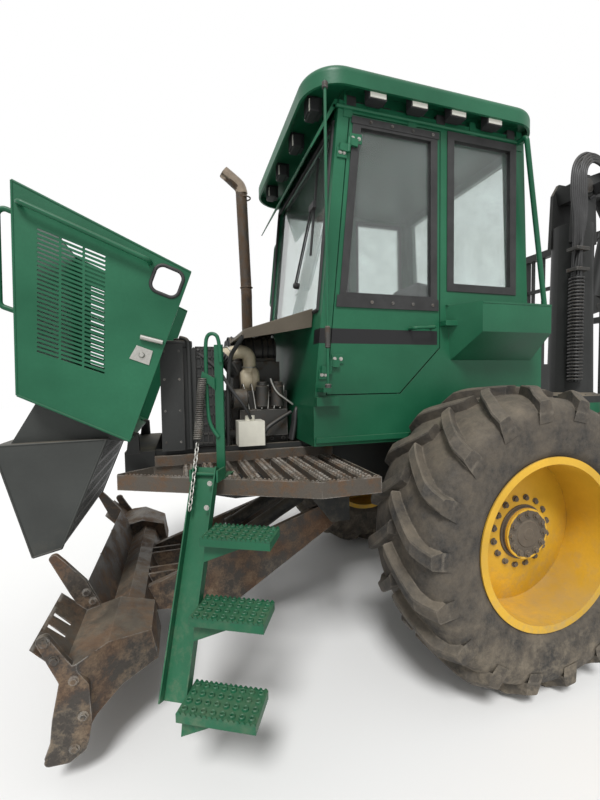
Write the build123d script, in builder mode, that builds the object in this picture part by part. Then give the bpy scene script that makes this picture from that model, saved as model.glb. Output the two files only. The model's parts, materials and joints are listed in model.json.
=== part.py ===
"""Six-wheeled forestry forwarder with a tilting hood, a front blade and a loading crane."""

import os
from math import atan2, cos, degrees, radians, sin, sqrt

from build123d import *

os.makedirs("parts", exist_ok=True)

# Millimetres. X points forward, Y to the left, Z up; Z = 0 is the ground.
# Places along X are given from the front axle and moved by front_axle_x.

# Wheels
front_tyre_radius = 820
rear_tyre_radius = 600
tyre_width = 600
tyre_offset = 1045
lug_height = 55
lug_length = 400
lug_width = 60
lug_angle = 48
front_lug_count = 18
rear_lug_count = 16
front_rim_radius = 457
rear_rim_radius = 300
rim_wall = 14
rim_inset = 27
rim_bead = 25
bead_gap = 0.3
flange_width = 8
hub_radius = 140
spindle_radius = 60
spindle_gap = 0.5

# Running gear
joint_x = -1200
bogie_x = -4700
bogie_z = 720
bogie_spacing = 1450
bogie_inner = 565
bogie_outer = 700
bogie_pin_radius = 75

# Front frame
rail_offset = 400
rail_thickness = 25
rail_bottom = 960
rail_top = 1290
rail_front = 2120
rail_back = -850
deck_top = 1200
deck_depth = 80
deck_outer = 1100
deck_rear = 865
deck_corner = 1180
deck_front = 2140
deck_front_y = 590
deck_inner = 430

# Hood, drawn closed and then turned about its front hinge
hood_hinge_x = 2070
hood_hinge_z = 1375
hood_open_angle = 69.5
hood_half = 600
hood_sheet = 6
hood_length = 960
hood_rear_height = 897
hood_rear_rake = 70
hood_front_height = 557
hood_front_rake = 64
nose_half = 550
hood_eye_y = 410
louvre_back = -860
louvre_front = -300
louvre_bottom = 411
louvre_slope = -183 / 560
louvre_count = 28
louvre_height = 98
louvre_width = 9
louvre_row = 109
hood_pin_radius = 12

# Cab
cab_half = 700
cab_wall = 45
cab_floor = 1300
cab_top = 3270
cab_front_low = 1080
cab_front_high = 905
cab_back_high = -420
cab_back_low = -600
window_top = 3200
door_gap = 6
riser_x = 1025
riser_y = 792
riser_low = 1640
riser_foot_back = 15
sill_gap = 14
door_thickness = 40
glass_thickness = 6
glass_gap = 0.3
roof_half = 800
roof_front = 1110
roof_back = -500
roof_bottom = 3285
roof_top = 3400

# Blade, its arms and its lift cylinders
blade_pivot_x = 800
blade_pivot_z = 790
blade_half = 1050
guard_offset = 600
arm_offset = 320
arm_thickness = 40

# Ladder
ladder_hinge_x = 1680
ladder_hinge_z = 1235
ladder_lean = 22
ladder_length = 930
ladder_pin_out = 52
ladder_pin_radius = 9
stile_width = 120
stile_depth = 45
step_width = 320
step_depth = 170
step_sheet = 5

# Rear frame and load space
rear_rail_offset = 350
rear_rail_bottom = 860
rear_rail_top = 1100
rear_rail_front = -1560
rear_reach = 6800
gate_x = -2450
gate_half = 1200
gate_top = 3200
gate_sill = 2250
bolster_places = (-3280, -6150)
bolster_half = 1180
bolster_size = 160
stake_top = 2600
tow_eye = (-rear_reach + 80, 830)
tow_eye_radius = 25
tow_eye_width = 60

# Crane
pillar_x = -1750
pillar_base = 1450
boom_pivot_z = 3400
boom_length = 2900
boom_lift = 15
boom_width = 180
boom_depth = 220
stick_drop = 10
stick_length = 1800
stick_width = 150
stick_wall = 10
hanger_length = 330
grapple_width = 320

# Cylinders: barrel radius, rod radius and the play between pin and eye
eye_gap = 0.5
side_gap = 1


def turned(u, v, angle):
    """A point (u, v) turned by an angle in degrees about the origin."""
    a = radians(angle)
    return (u * cos(a) - v * sin(a), u * sin(a) + v * cos(a))


# Nose of the hood, closed, measured from the hood's hinge
nose_points = [(32, 116), (216, 592), (706, 249), (633, 137)]
front_reach = hood_hinge_x + max(turned(u, v, -hood_open_angle)[0] for u, v in nose_points)
front_axle_x = (rear_reach - front_reach) / 2
fx = front_axle_x


def place(points):
    """Points given from the front axle, moved to the frame's origin."""
    return [(fx + x, z) for x, z in points]


def slab(points, y_high, y_low, frame=Plane.XZ, mode=Mode.ADD):
    """A flat outline in a plane whose normal is -Y, filled from y_high to y_low."""
    with BuildSketch(frame.offset(-y_high)) as outline:
        with BuildLine():
            Polyline(*points, close=True)
        make_face()
    extrude(outline.sketch, amount=y_high - y_low, mode=mode)


def rounded_slab(points, y_high, y_low, radius):
    """A flat outline with rounded corners, filled from y_high to y_low."""
    with BuildSketch(Plane.XZ.offset(-y_high)) as outline:
        with BuildLine():
            Polyline(*points, close=True)
        make_face()
        fillet(outline.vertices(), radius)
    extrude(outline.sketch, amount=y_high - y_low)


def block(x_low, x_high, y_low, y_high, z_low, z_high, mode=Mode.ADD):
    """A box between two corners, with X given from the front axle."""
    centre = (fx + (x_low + x_high) / 2, (y_low + y_high) / 2, (z_low + z_high) / 2)
    with Locations(centre):
        Box(x_high - x_low, y_high - y_low, z_high - z_low, mode=mode)


def across(x, z, radius, y_high, y_low, mode=Mode.ADD):
    """A round bar along Y at a place given from the front axle."""
    with BuildSketch(Plane.XZ.offset(-y_high)) as disc:
        with Locations((fx + x, z)):
            Circle(radius)
    extrude(disc.sketch, amount=y_high - y_low, mode=mode)


def pipe(points, radius, bend):
    """A round bar along straight runs joined by bends."""
    with BuildLine() as route:
        if len(points) > 2:
            FilletPolyline(*points, radius=bend)
        else:
            Polyline(*points)
    start = route.line @ 0
    heading = route.line % 0
    with BuildSketch(Plane(origin=start, z_dir=heading)) as section:
        Circle(radius)
    sweep(section.sketch, path=route.line)


def finish(piece, name):
    piece.part.label = name
    export_step(piece.part, f"parts/{name}.step")


def shoulder_radius(corner_radius, half_chord):
    """Radius of a flat whose corners lie on the tyre's outer circle."""
    return sqrt(corner_radius**2 - half_chord**2)


def make_tyre(name, x, side, radius, rim_radius, lug_count):
    """A tyre with slanting lugs in two rows; side is +1 on the left."""
    half = tyre_width / 2
    crown = radius - lug_height
    wall = crown - rim_radius
    # Rings of the carcass: place across the tyre, radius
    rings = [
        (-half + rim_inset + flange_width + bead_gap, rim_radius + 4),
        (-half + 6, rim_radius + 0.45 * wall),
        (-half + 30, crown - 40),
        (-half + 110, crown),
        (half - 110, crown),
        (half - 30, crown - 40),
        (half - 6, rim_radius + 0.45 * wall),
        (half - rim_inset - flange_width - bead_gap, rim_radius + 4),
    ]
    half_chord = (lug_length * cos(radians(lug_angle)) + lug_width * sin(radians(lug_angle))) / 2
    lug_top = shoulder_radius(radius, half_chord)
    lug_base = crown - 45
    centre = (fx + x, side * tyre_offset, radius)
    wheel_plane = Plane(origin=centre, x_dir=(1, 0, 0), z_dir=(0, 1, 0))
    with BuildPart(wheel_plane) as tyre:
        for place_across, ring_radius in rings:
            with BuildSketch(wheel_plane.offset(place_across)):
                RegularPolygon(ring_radius, 2 * lug_count)
        loft(ruled=True)
        corner_down = -90 - degrees(atan2(half_chord, lug_top))
        rows = ((1, corner_down), (-1, corner_down + 180 / lug_count))
        for row_side, start in rows:
            with PolarLocations((lug_top + lug_base) / 2, lug_count, start_angle=start):
                with Locations((0, 0, row_side * half * 0.49)):
                    Box(lug_top - lug_base, lug_length, lug_width, rotation=(row_side * lug_angle, 0, 0))
        Box(2 * radius, 2 * radius, tyre_width, mode=Mode.INTERSECT)
        with BuildSketch(wheel_plane):
            RegularPolygon(rim_radius - rim_bead + bead_gap, 2 * lug_count, major_radius=False)
        extrude(amount=half, both=True, mode=Mode.SUBTRACT)
    finish(tyre, name)


def make_rim(name, x, side, radius, rim_radius, hub_face):
    """A dished rim with its hub on the axle's spindle."""
    bead = rim_radius - rim_bead
    inner = tyre_offset - tyre_width / 2 + rim_inset
    outer = tyre_offset + tyre_width / 2 - rim_inset
    inside = bead - rim_wall
    bore = spindle_radius + spindle_gap
    outline = [
        (0, hub_face - 15),
        (bore, hub_face - 15),
        (bore, hub_face - 185),
        (hub_radius, hub_face - 185),
        (hub_radius, hub_face - 60),
        (inside, hub_face - 130),
        (inside, inner),
        (rim_radius, inner),
        (rim_radius, inner + flange_width),
        (bead, inner + flange_width),
        (bead, outer - flange_width),
        (rim_radius, outer - flange_width),
        (rim_radius, outer),
        (inside, outer),
        (inside, hub_face - 108),
        (hub_radius, hub_face - 36),
        (hub_radius, hub_face),
        (0, hub_face),
    ]
    centre = (fx + x, 0, radius)
    with BuildPart() as rim:
        with BuildSketch(Plane(origin=centre, x_dir=(1, 0, 0), z_dir=(0, 0, 1))):
            with BuildLine():
                Polyline(*[(r, side * y) for r, y in outline], close=True)
            make_face()
        revolve(axis=Axis(centre, (0, 1, 0)))
    finish(rim, name)


# Wheels: name, place along X, side, radius, rim radius, lugs
hub_face = 1156
wheels = [
    ("front_left", 0, 1, front_tyre_radius, front_rim_radius, front_lug_count),
    ("front_right", 0, -1, front_tyre_radius, front_rim_radius, front_lug_count),
    (
        "bogie_front_left", bogie_x + bogie_spacing / 2, 1, rear_tyre_radius, rear_rim_radius,
        rear_lug_count,
    ),
    (
        "bogie_front_right", bogie_x + bogie_spacing / 2, -1, rear_tyre_radius, rear_rim_radius,
        rear_lug_count,
    ),
    (
        "bogie_rear_left", bogie_x - bogie_spacing / 2, 1, rear_tyre_radius, rear_rim_radius,
        rear_lug_count,
    ),
    (
        "bogie_rear_right", bogie_x - bogie_spacing / 2, -1, rear_tyre_radius, rear_rim_radius,
        rear_lug_count,
    ),
]
for wheel_name, wheel_x, side, radius, rim_radius, lug_count in wheels:
    make_tyre(f"tyre_{wheel_name}", wheel_x, side, radius, rim_radius, lug_count)
    make_rim(f"rim_{wheel_name}", wheel_x, side, radius, rim_radius, hub_face)


def make_cylinder(
    name, base, eye, y, barrel_radius, rod_radius, eye_radius, pin_radius, eye_width, barrel_end, inside,
    flat=False,
):
    """A hydraulic cylinder from its base pin to its rod's eye, in a plane along Y or lying flat."""
    # base and eye are (x, z) from the front axle, or (x, y) at height y when flat.
    if flat:
        start = Vector(fx + base[0], base[1], y)
        end = Vector(fx + eye[0], eye[1], y)
        pin_axis = (0, 0, 1)
    else:
        start = Vector(fx + base[0], y, base[1])
        end = Vector(fx + eye[0], y, eye[1])
        pin_axis = (0, 1, 0)
    heading = (end - start).normalized()
    length = (end - start).length
    bore = barrel_radius - 9
    with BuildPart(Plane(origin=start, x_dir=pin_axis, z_dir=heading)) as barrel:
        with Locations((0, 0, 0)):
            Cylinder(eye_radius, eye_width, rotation=(0, 90, 0))
        with Locations((0, 0, eye_radius + 20)):
            Box(eye_width, eye_radius * 1.4, eye_radius + 40)
        with Locations((0, 0, eye_radius + 50)):
            Cylinder(
                barrel_radius, barrel_end - eye_radius - 50,
                align=(Align.CENTER, Align.CENTER, Align.MIN),
            )
        with Locations((0, 0, barrel_end - 55)):
            Cylinder(barrel_radius + 7, 55, align=(Align.CENTER, Align.CENTER, Align.MIN))
        with Locations((0, 0, eye_radius + 65)):
            Cylinder(bore, barrel_end, align=(Align.CENTER, Align.CENTER, Align.MIN), mode=Mode.SUBTRACT)
        Cylinder(pin_radius + eye_gap, eye_width + 2, rotation=(0, 90, 0), mode=Mode.SUBTRACT)
    finish(barrel, f"{name}_barrel")
    with BuildPart(Plane(origin=end, x_dir=pin_axis, z_dir=heading * -1)) as rod:
        Cylinder(eye_radius, eye_width, rotation=(0, 90, 0))
        rod_length = length - barrel_end + inside
        Cylinder(rod_radius, rod_length, align=(Align.CENTER, Align.CENTER, Align.MIN))
        with Locations((0, 0, rod_length - 40)):
            Cylinder(bore - 1, 40, align=(Align.CENTER, Align.CENTER, Align.MIN))
    finish(rod, f"{name}_rod")


# Front frame: two rails, cross members and the forks of the middle joint
fork_top = 1130
fork_low = 700
fork_plate = 45
joint_pin_radius = 55
steer_base = (-480, 330)
steer_eye = (joint_x - 120, 260)
steer_z = 847
steer_pin_radius = 24
blade_cylinder_base = (930, 900)
blade_cylinder_eye = (1800, 420)
hood_ear = place([
    (hood_hinge_x - 30, rail_top - 10), (hood_hinge_x - 25, hood_hinge_z + 20),
    (hood_hinge_x + 25, hood_hinge_z + 20), (hood_hinge_x + 40, rail_top - 10),
])
with BuildPart() as front_chassis:
    rail_outline = place([
        (rail_front, rail_top), (rail_back, rail_top),
        (rail_back, rail_bottom - 240), (-420, rail_bottom - 240), (-260, rail_bottom),
        (1500, rail_bottom), (rail_front, 1120),
    ])
    for side in (1, -1):
        outer = side * rail_offset + rail_thickness / 2
        slab(rail_outline, outer, outer - rail_thickness)
    inner = rail_offset - rail_thickness / 2
    block(rail_front - 160, rail_front, -deck_inner, deck_inner, 1130, 1290)
    block(1490, 1520, -inner, inner, rail_bottom, 1250)
    block(520, 560, -inner, inner, rail_bottom, 1290)
    block(-560, -520, -inner, inner, 720, 1290)
    block(rail_back - 25, rail_back, -rail_offset - 12.5, rail_offset + 12.5, fork_low - 40, 1180)
    for z_low in (fork_low, fork_top - fork_plate):
        with BuildSketch(Plane.XY.offset(z_low)):
            with BuildLine():
                Polyline(*place([
                    (rail_back, 320), (rail_back, -320), (joint_x + 40, -130),
                    (joint_x - 110, -90), (joint_x - 110, 90), (joint_x + 40, 130),
                ]), close=True)
            make_face()
        extrude(amount=fork_plate)
    with Locations((fx + joint_x, 0, fork_low)):
        Cylinder(joint_pin_radius, fork_top - fork_low, align=(Align.CENTER, Align.CENTER, Align.MIN))
    for side in (1, -1):
        y_low, y_high = sorted((side * 215, side * 375))
        for x_low, x_high in ((rail_back - 26, rail_back + 1), (-561, -519)):
            block(x_low, x_high, y_low, y_high, steer_z - 67, steer_z + 67, mode=Mode.SUBTRACT)
        y_low, y_high = sorted((side * 285, side * rail_offset))
        for z_low in (steer_z - 30 - side_gap - 25, steer_z + 30 + side_gap):
            block(steer_base[0] - 50, steer_base[0] + 50, y_low, y_high, z_low, z_low + 25)
        with Locations((fx + steer_base[0], side * steer_base[1], steer_z)):
            Cylinder(steer_pin_radius, 100)
    # Pads under the cab and ears with pins for the hood's hinge
    for side in (1, -1):
        for x in (-400, 900):
            y_low, y_high = sorted((side * (rail_offset - 40), side * (rail_offset + 40)))
            block(x, x + 100, y_low, y_high, rail_top, cab_floor)
        for y in (hood_eye_y - 22, hood_eye_y + 22):
            slab(hood_ear, side * y + 7, side * y - 7)
        across(
            hood_hinge_x, hood_hinge_z, hood_pin_radius,
            *sorted((side * (hood_eye_y - 35), side * (hood_eye_y + 35)), reverse=True),
        )
    # Brackets of the blade and of its cylinders
    for side in (1, -1):
        outline = place([
            (blade_pivot_x - 70, rail_bottom), (blade_pivot_x - 70, 730), (blade_pivot_x + 60, 730),
            (blade_pivot_x + 240, rail_bottom),
        ])
        outer = side * (rail_offset - 8) + rail_thickness / 2
        slab(outline, outer, outer - rail_thickness)
        pin = sorted((side * (rail_offset - 20), side * (arm_offset - arm_thickness / 2 - 4)))
        across(blade_pivot_x, blade_pivot_z, 30, pin[1], pin[0])
    block(860, 1010, -380, 380, rail_bottom - 12, rail_bottom)
    for y in (120, 200, -120, -200):
        slab(
            place([(860, rail_bottom - 12), (870, 860), (980, 860), (1010, rail_bottom - 12)]), y + 10,
            y - 10,
        )
    across(blade_cylinder_base[0], blade_cylinder_base[1], 22, 210, 110)
    across(blade_cylinder_base[0], blade_cylinder_base[1], 22, -110, -210)
finish(front_chassis, "front_chassis")

# Front axle: housing with final drives and the spindles of the wheels
with BuildPart() as front_axle:
    across(0, front_tyre_radius, 130, 640, -640)
    with Locations((fx, 0, front_tyre_radius)):
        Sphere(225)
    for side in (1, -1):
        drive = sorted((side * 640, side * (hub_face - 190)))
        across(0, front_tyre_radius, 175, drive[1], drive[0])
        spindle = sorted((side * 640, side * (hub_face - 20)))
        across(0, front_tyre_radius, spindle_radius, spindle[1], spindle[0])
        block(
            -170, 170, side * rail_offset - 70, side * rail_offset + 70, front_tyre_radius + 60,
            rail_bottom,
        )
finish(front_axle, "front_axle")

# Decks beside the engine, outlined from above; the left one carries the ladder
deck_slope = (deck_outer - deck_front_y) / (deck_front - deck_corner)
deck_outline = [
    (deck_rear, deck_inner), (deck_rear, deck_outer), (deck_corner, deck_outer),
    (deck_front, deck_front_y), (deck_front, deck_inner + 130), (deck_front - 170, deck_inner),
]
plank_count = 9
with BuildPart() as deck:
    for side in (1, -1):
        outline = [(fx + x, side * y) for x, y in deck_outline]
        with BuildSketch(Plane.XY.offset(deck_top - deck_depth)) as plate:
            with BuildLine():
                Polyline(*outline, close=True)
            make_face()
            offset(amount=-8, mode=Mode.SUBTRACT)
        extrude(amount=deck_depth)
        for index in range(plank_count):
            x = deck_rear + 40 + 105 * index
            reach = min(deck_outer, deck_outer - (x + 60 - deck_corner) * deck_slope) - 4
            y_low, y_high = sorted((side * (deck_inner + 2), side * reach))
            block(x, x + 60, y_low, y_high, deck_top - 45, deck_top - 4)
        for x in (deck_rear + 120, deck_rear + 640):
            y_low, y_high = sorted((side * (rail_offset + rail_thickness / 2), side * (deck_inner + 420)))
            block(x, x + 40, y_low, y_high, deck_top - deck_depth, deck_top - 45)
finish(deck, "deck")

# Engine, gearbox and radiator under the hood
with BuildPart() as engine:
    block(1120, 1490, -260, 260, 1080, 1620)
    block(1135, 1465, -130, 130, 1620, 1820)
    block(1140, 1450, 260, 340, 1330, 1500)
    block(700, 1120, -200, 200, 1000, 1280)
    with Locations((fx + 1300, -60, 1900)):
        Cylinder(105, 330, rotation=(0, 90, 0))
    block(1200, 1400, -160, 60, 1800, 1850)
finish(engine, "engine")

with BuildPart() as coolant_tank:
    block(1320, 1480, rail_offset - 60, rail_offset + 75, rail_top, 1440)
    with Locations((fx + 1400, rail_offset + 10, 1440)):
        Cylinder(30, 30, align=(Align.CENTER, Align.CENTER, Align.MIN))
finish(coolant_tank, "coolant_tank")

with BuildPart() as radiator:
    block(1720, 1900, -450, 450, rail_top, 1880)
    for side in (1, -1):
        y_low, y_high = sorted((side * 450, side * 475))
        block(1790, 1915, y_low, y_high, rail_top, 1900)
    block(1560, 1720, -430, 430, 1300, 1860)
    with Locations((fx + 1640, 0, 1580)):
        Cylinder(250, 162, rotation=(0, 90, 0), mode=Mode.SUBTRACT)
    for angle in range(0, 180, 45):
        with Locations(Location((fx + 1600, 0, 1580), (angle, 0, 0))):
            Box(14, 510, 60)
finish(radiator, "radiator")

# Exhaust: silencer on the right deck and a stack with a bent tip
stack_y = -690
stack_x = 1210
with BuildPart() as exhaust:
    with Locations((fx + stack_x, stack_y - 90, deck_top - 4)):
        Cylinder(110, 560, align=(Align.CENTER, Align.CENTER, Align.MIN))
    pipe([
        (fx + stack_x, stack_y - 90, 1700), (fx + stack_x, stack_y - 60, 2150),
        (fx + stack_x + 10, stack_y, 2450), (fx + stack_x + 40, stack_y, 3380),
        (fx + stack_x + 190, stack_y, 3500),
    ], 48, 90)
finish(exhaust, "exhaust")

# Cab: hollow steel body with its pillars, floor and window openings
cab_rake = (cab_front_low - cab_front_high) / (cab_top - 1530)


def pillar_front(z):
    """X of the cab's front edge at a height."""
    return cab_front_low - cab_rake * max(0, z - 1530)


def pillar_line(z, back):
    """A point behind the raked front edge, at a height."""
    return (pillar_front(z) - back, z)


cab_outline = [
    (cab_front_low, cab_floor), (cab_front_low, 1530), (cab_front_high, cab_top),
    (cab_back_high, cab_top), (cab_back_high - 50, 2150), (cab_back_low, 2060), (cab_back_low, 1480),
    (-480, cab_floor),
]
cab_inside = [
    (cab_front_low - cab_wall, cab_floor + 40), (cab_front_low - cab_wall, 1530),
    (cab_front_high - cab_wall, cab_top - 40),
    (cab_back_high + cab_wall, cab_top - 40), (cab_back_high - 50 + cab_wall, 2150),
    (cab_back_low + cab_wall, 2040), (cab_back_low + cab_wall, 1480), (-460, cab_floor + 40),
]
door_rear = 235
door_sill = 1600
door_outline = [
    pillar_line(door_sill, 75), (520, door_sill), (door_rear, 1880), (door_rear, window_top),
    pillar_line(window_top, 75),
]
door_window = [
    pillar_line(2170, 125), (door_rear + 45, 2170), (door_rear + 45, window_top - 45),
    pillar_line(window_top - 45, 125),
]
side_window = [(165, 2250), (-350, 2250), (-340, window_top), (165, window_top)]
right_window = [
    pillar_line(2170, 75), (door_rear, 2170), (door_rear, window_top), pillar_line(window_top, 75),
]


def grown(points, amount):
    """Outline moved outwards by an amount, as seen along Y."""
    centre_x = sum(x for x, z in points) / len(points)
    centre_z = sum(z for x, z in points) / len(points)
    moved = []
    for x, z in points:
        moved.append(
            (x + (amount if x > centre_x else -amount), z + (amount if z > centre_z else -amount))
        )
    return moved


# Door hinges: a pin and a knuckle on the front pillar under a knuckle on the door
door_axis_y = cab_half + 16
door_axis_back = 78
hinge_heights = (1760, 3020)
hinge_radius = 11
hinge_pin_radius = 6
knuckle_length = 42


def hinge_frame(z):
    """A frame at a door hinge, with its Z axis along the raked pillar."""
    x, z = pillar_line(z, door_axis_back)
    return Plane(origin=(fx + x, door_axis_y, z), x_dir=(1, 0, cab_rake), z_dir=(-cab_rake, 0, 1))


with BuildPart() as cab_body:
    slab(place(cab_outline), cab_half, -cab_half)
    slab(place(cab_inside), cab_half - cab_wall, -cab_half + cab_wall, mode=Mode.SUBTRACT)
    slab(place(grown(door_outline, door_gap)), cab_half + 1, cab_half - cab_wall - 1, mode=Mode.SUBTRACT)
    slab(place(side_window), cab_half + 1, cab_half - cab_wall - 1, mode=Mode.SUBTRACT)
    slab(place(side_window), -cab_half + cab_wall + 1, -cab_half - 1, mode=Mode.SUBTRACT)
    slab(place(right_window), -cab_half + cab_wall + 1, -cab_half - 1, mode=Mode.SUBTRACT)
    block(700, 1200, -630, 630, 2100, 3170, mode=Mode.SUBTRACT)
    block(-620, -300, -560, 560, 2180, 3170, mode=Mode.SUBTRACT)
    for z in hinge_heights:
        with Locations(hinge_frame(z)):
            Cylinder(hinge_pin_radius, 2 * knuckle_length)
            with Locations((0, 0, -knuckle_length / 2 - side_gap)):
                Cylinder(hinge_radius, knuckle_length)
                with Locations((28, -6, 0)):
                    Box(52, 20, knuckle_length)
finish(cab_body, "cab_body")

# Glass: panes seated in the openings of the cab
pane_mid = cab_wall / 2
with BuildPart() as cab_glass:
    pane_y = cab_half - pane_mid
    slab(place(grown(side_window, -glass_gap)), pane_y, pane_y - glass_thickness)
    slab(place(grown(side_window, -glass_gap)), -pane_y + glass_thickness, -pane_y)
    slab(place(grown(right_window, -glass_gap)), -pane_y + glass_thickness, -pane_y)
    slab(place([pillar_line(2100 + glass_gap, 20), pillar_line(3170 - glass_gap, 20),
                pillar_line(3170 - glass_gap, 20 + glass_thickness),
                pillar_line(2100 + glass_gap, 20 + glass_thickness)]),
         630 - glass_gap, -630 + glass_gap)
    rear_low = cab_back_high - 50 * (cab_top - 2180) / (cab_top - 2150)
    rear_high = cab_back_high - 50 * (cab_top - 3170) / (cab_top - 2150)
    slab(place([(rear_low + 20, 2180 + glass_gap), (rear_high + 20, 3170 - glass_gap),
                (rear_high + 20 + glass_thickness, 3170 - glass_gap),
                (rear_low + 20 + glass_thickness, 2180 + glass_gap)]),
         560 - glass_gap, -560 + glass_gap)
finish(cab_glass, "cab_glass")

# Roof: a shallow tray with rounded corners over a plenum on the cab
with BuildPart() as cab_roof:
    roof_mid = (roof_front + roof_back) / 2
    with BuildSketch(Plane.XY.offset(roof_bottom)):
        with Locations((fx + roof_mid, 0)):
            RectangleRounded(roof_front - roof_back, 2 * roof_half, 220)
    extrude(amount=roof_top - roof_bottom)
    fillet(cab_roof.faces().sort_by(Axis.Z)[-1].edges(), 45)
    with BuildSketch(Plane.XY.offset(roof_bottom)):
        with Locations((fx + roof_mid, 0)):
            RectangleRounded(roof_front - roof_back - 30, 2 * roof_half - 30, 205)
    extrude(amount=roof_top - roof_bottom - 50, mode=Mode.SUBTRACT)
    block(cab_back_high + 20, cab_front_high - 40, -cab_half + 30, cab_half - 30, cab_top, roof_top - 40)
    visor = place([(cab_front_high + 10, cab_top - 20), (cab_front_high + 165, 2985),
                   (cab_front_high + 172, 2988), (cab_front_high + 20, cab_top + 6),
                   (cab_front_high - 45, cab_top + 6),
                   (cab_front_high - 45, cab_top + 0.3), (cab_front_high + 4, cab_top + 0.3)])
    slab(visor, cab_half - 10, -cab_half + 10)
finish(cab_roof, "cab_roof")

# Work lamps under the roof's lip: place along X and Y
lamp_places = [
    (1005, 540), (1005, 190), (1005, -190), (1005, -540), (700, 745), (430, 745), (160, 745), (-110, 745),
]
with BuildPart() as work_lamps:
    for x, y in lamp_places:
        block(x - 45, x + 45, y - 35, y + 35, roof_bottom - 30, roof_top - 50)
finish(work_lamps, "work_lamps")

# Inside the cab: seat, and the console with the seat's pedestal and the armrests
seat_gap = 0.3
with BuildPart() as seat:
    block(40, 540, -240, 240, 1700 + seat_gap, 1850)
    slab(place([(40, 1840), (150, 1840), (60, 2420), (-50, 2440)]), 230, -230)
finish(seat, "seat")
with BuildPart() as console:
    block(130, 470, -170, 170, cab_floor + 40, 1700)
    slab(place([(1000, cab_floor + 40), (800, cab_floor + 40), (760, 2020), (980, 2060)]), 420, -420)
    pipe([(fx + 850, 0, 1950), (fx + 650, 0, 2160)], 25, 40)
    for side in (1, -1):
        y_low, y_high = sorted((side * 260, side * 380))
        block(80, 500, y_low, y_high, cab_floor + 40, 1960)
finish(console, "console")

# Left door: frame with a window, hung on the front pillar
with BuildPart() as door:
    slab(place(door_outline), cab_half, cab_half - door_thickness)
    slab(place(door_window), cab_half + 1, cab_half - door_thickness - 1, mode=Mode.SUBTRACT)
    for z in hinge_heights:
        with Locations(hinge_frame(z)):
            with Locations((0, 0, knuckle_length / 2)):
                Cylinder(hinge_radius, knuckle_length)
                with Locations((-28, -6, 0)):
                    Box(52, 20, knuckle_length)
                Cylinder(hinge_pin_radius + eye_gap, knuckle_length + 1, mode=Mode.SUBTRACT)
    pipe(
        [
            (fx + 300, cab_half, 2000), (fx + 300, cab_half + 55, 2000), (fx + 450, cab_half + 55, 1990),
            (fx + 450, cab_half, 1990),
        ],
        10, 20,
    )
finish(door, "door")
with BuildPart() as door_glass:
    slab(place(grown(door_window, -glass_gap)), cab_half - 18, cab_half - 18 - glass_thickness)
finish(door_glass, "door_glass")

# Storage box on the cab's left side, behind the door, with a sloping underside
with BuildPart() as storage_box:
    box_top, box_low, box_under = 2140, 1960, 1800
    with BuildSketch(Plane.XZ.offset(-cab_half)):
        with BuildLine():
            Polyline(
                *place([(190, box_top), (-500, box_top), (-500, box_under), (150, box_under)]),
                close=True,
            )
        make_face()
    with BuildSketch(Plane.XZ.offset(-cab_half - 200)):
        with BuildLine():
            Polyline(*place([(80, box_top), (-450, box_top), (-450, box_low), (80, box_low)]), close=True)
        make_face()
    loft()
finish(storage_box, "storage_box")

# Battery and valve box behind the cab
with BuildPart() as rear_box:
    block(-840, cab_back_low - 5, -330, 560, rail_top, 1780)
    block(-780, cab_back_low - 5, 330, 560, 1780, 1960)
finish(rear_box, "rear_box")

# Hood: sheet-metal sides, top and rear edge, turned open about its hinge
hood_frame = Plane(
    origin=(fx + hood_hinge_x, 0, hood_hinge_z),
    x_dir=(cos(radians(hood_open_angle)), 0, -sin(radians(hood_open_angle))),
    z_dir=(0, -1, 0),
)
hood_outline = [
    (-hood_length, 0), (-hood_length - hood_rear_rake, hood_rear_height),
    (-hood_front_rake, hood_front_height), (0, 0),
]
hood_top_slope = (hood_rear_height - hood_front_height) / (hood_length + hood_rear_rake - hood_front_rake)


def hood_top(u):
    """Height of the hood's top sheet above its hinge, measured on the closed hood."""
    return hood_front_height - hood_top_slope * (u + hood_front_rake)


def hood_tube(places, side):
    """A guard tube through places (u, y, v) measured on the closed hood."""
    points = [hood_frame.from_local_coords((u, v, -side * y)) for u, y, v in places]
    pipe([(point.X, point.Y, point.Z) for point in points], 13, 30)


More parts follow.
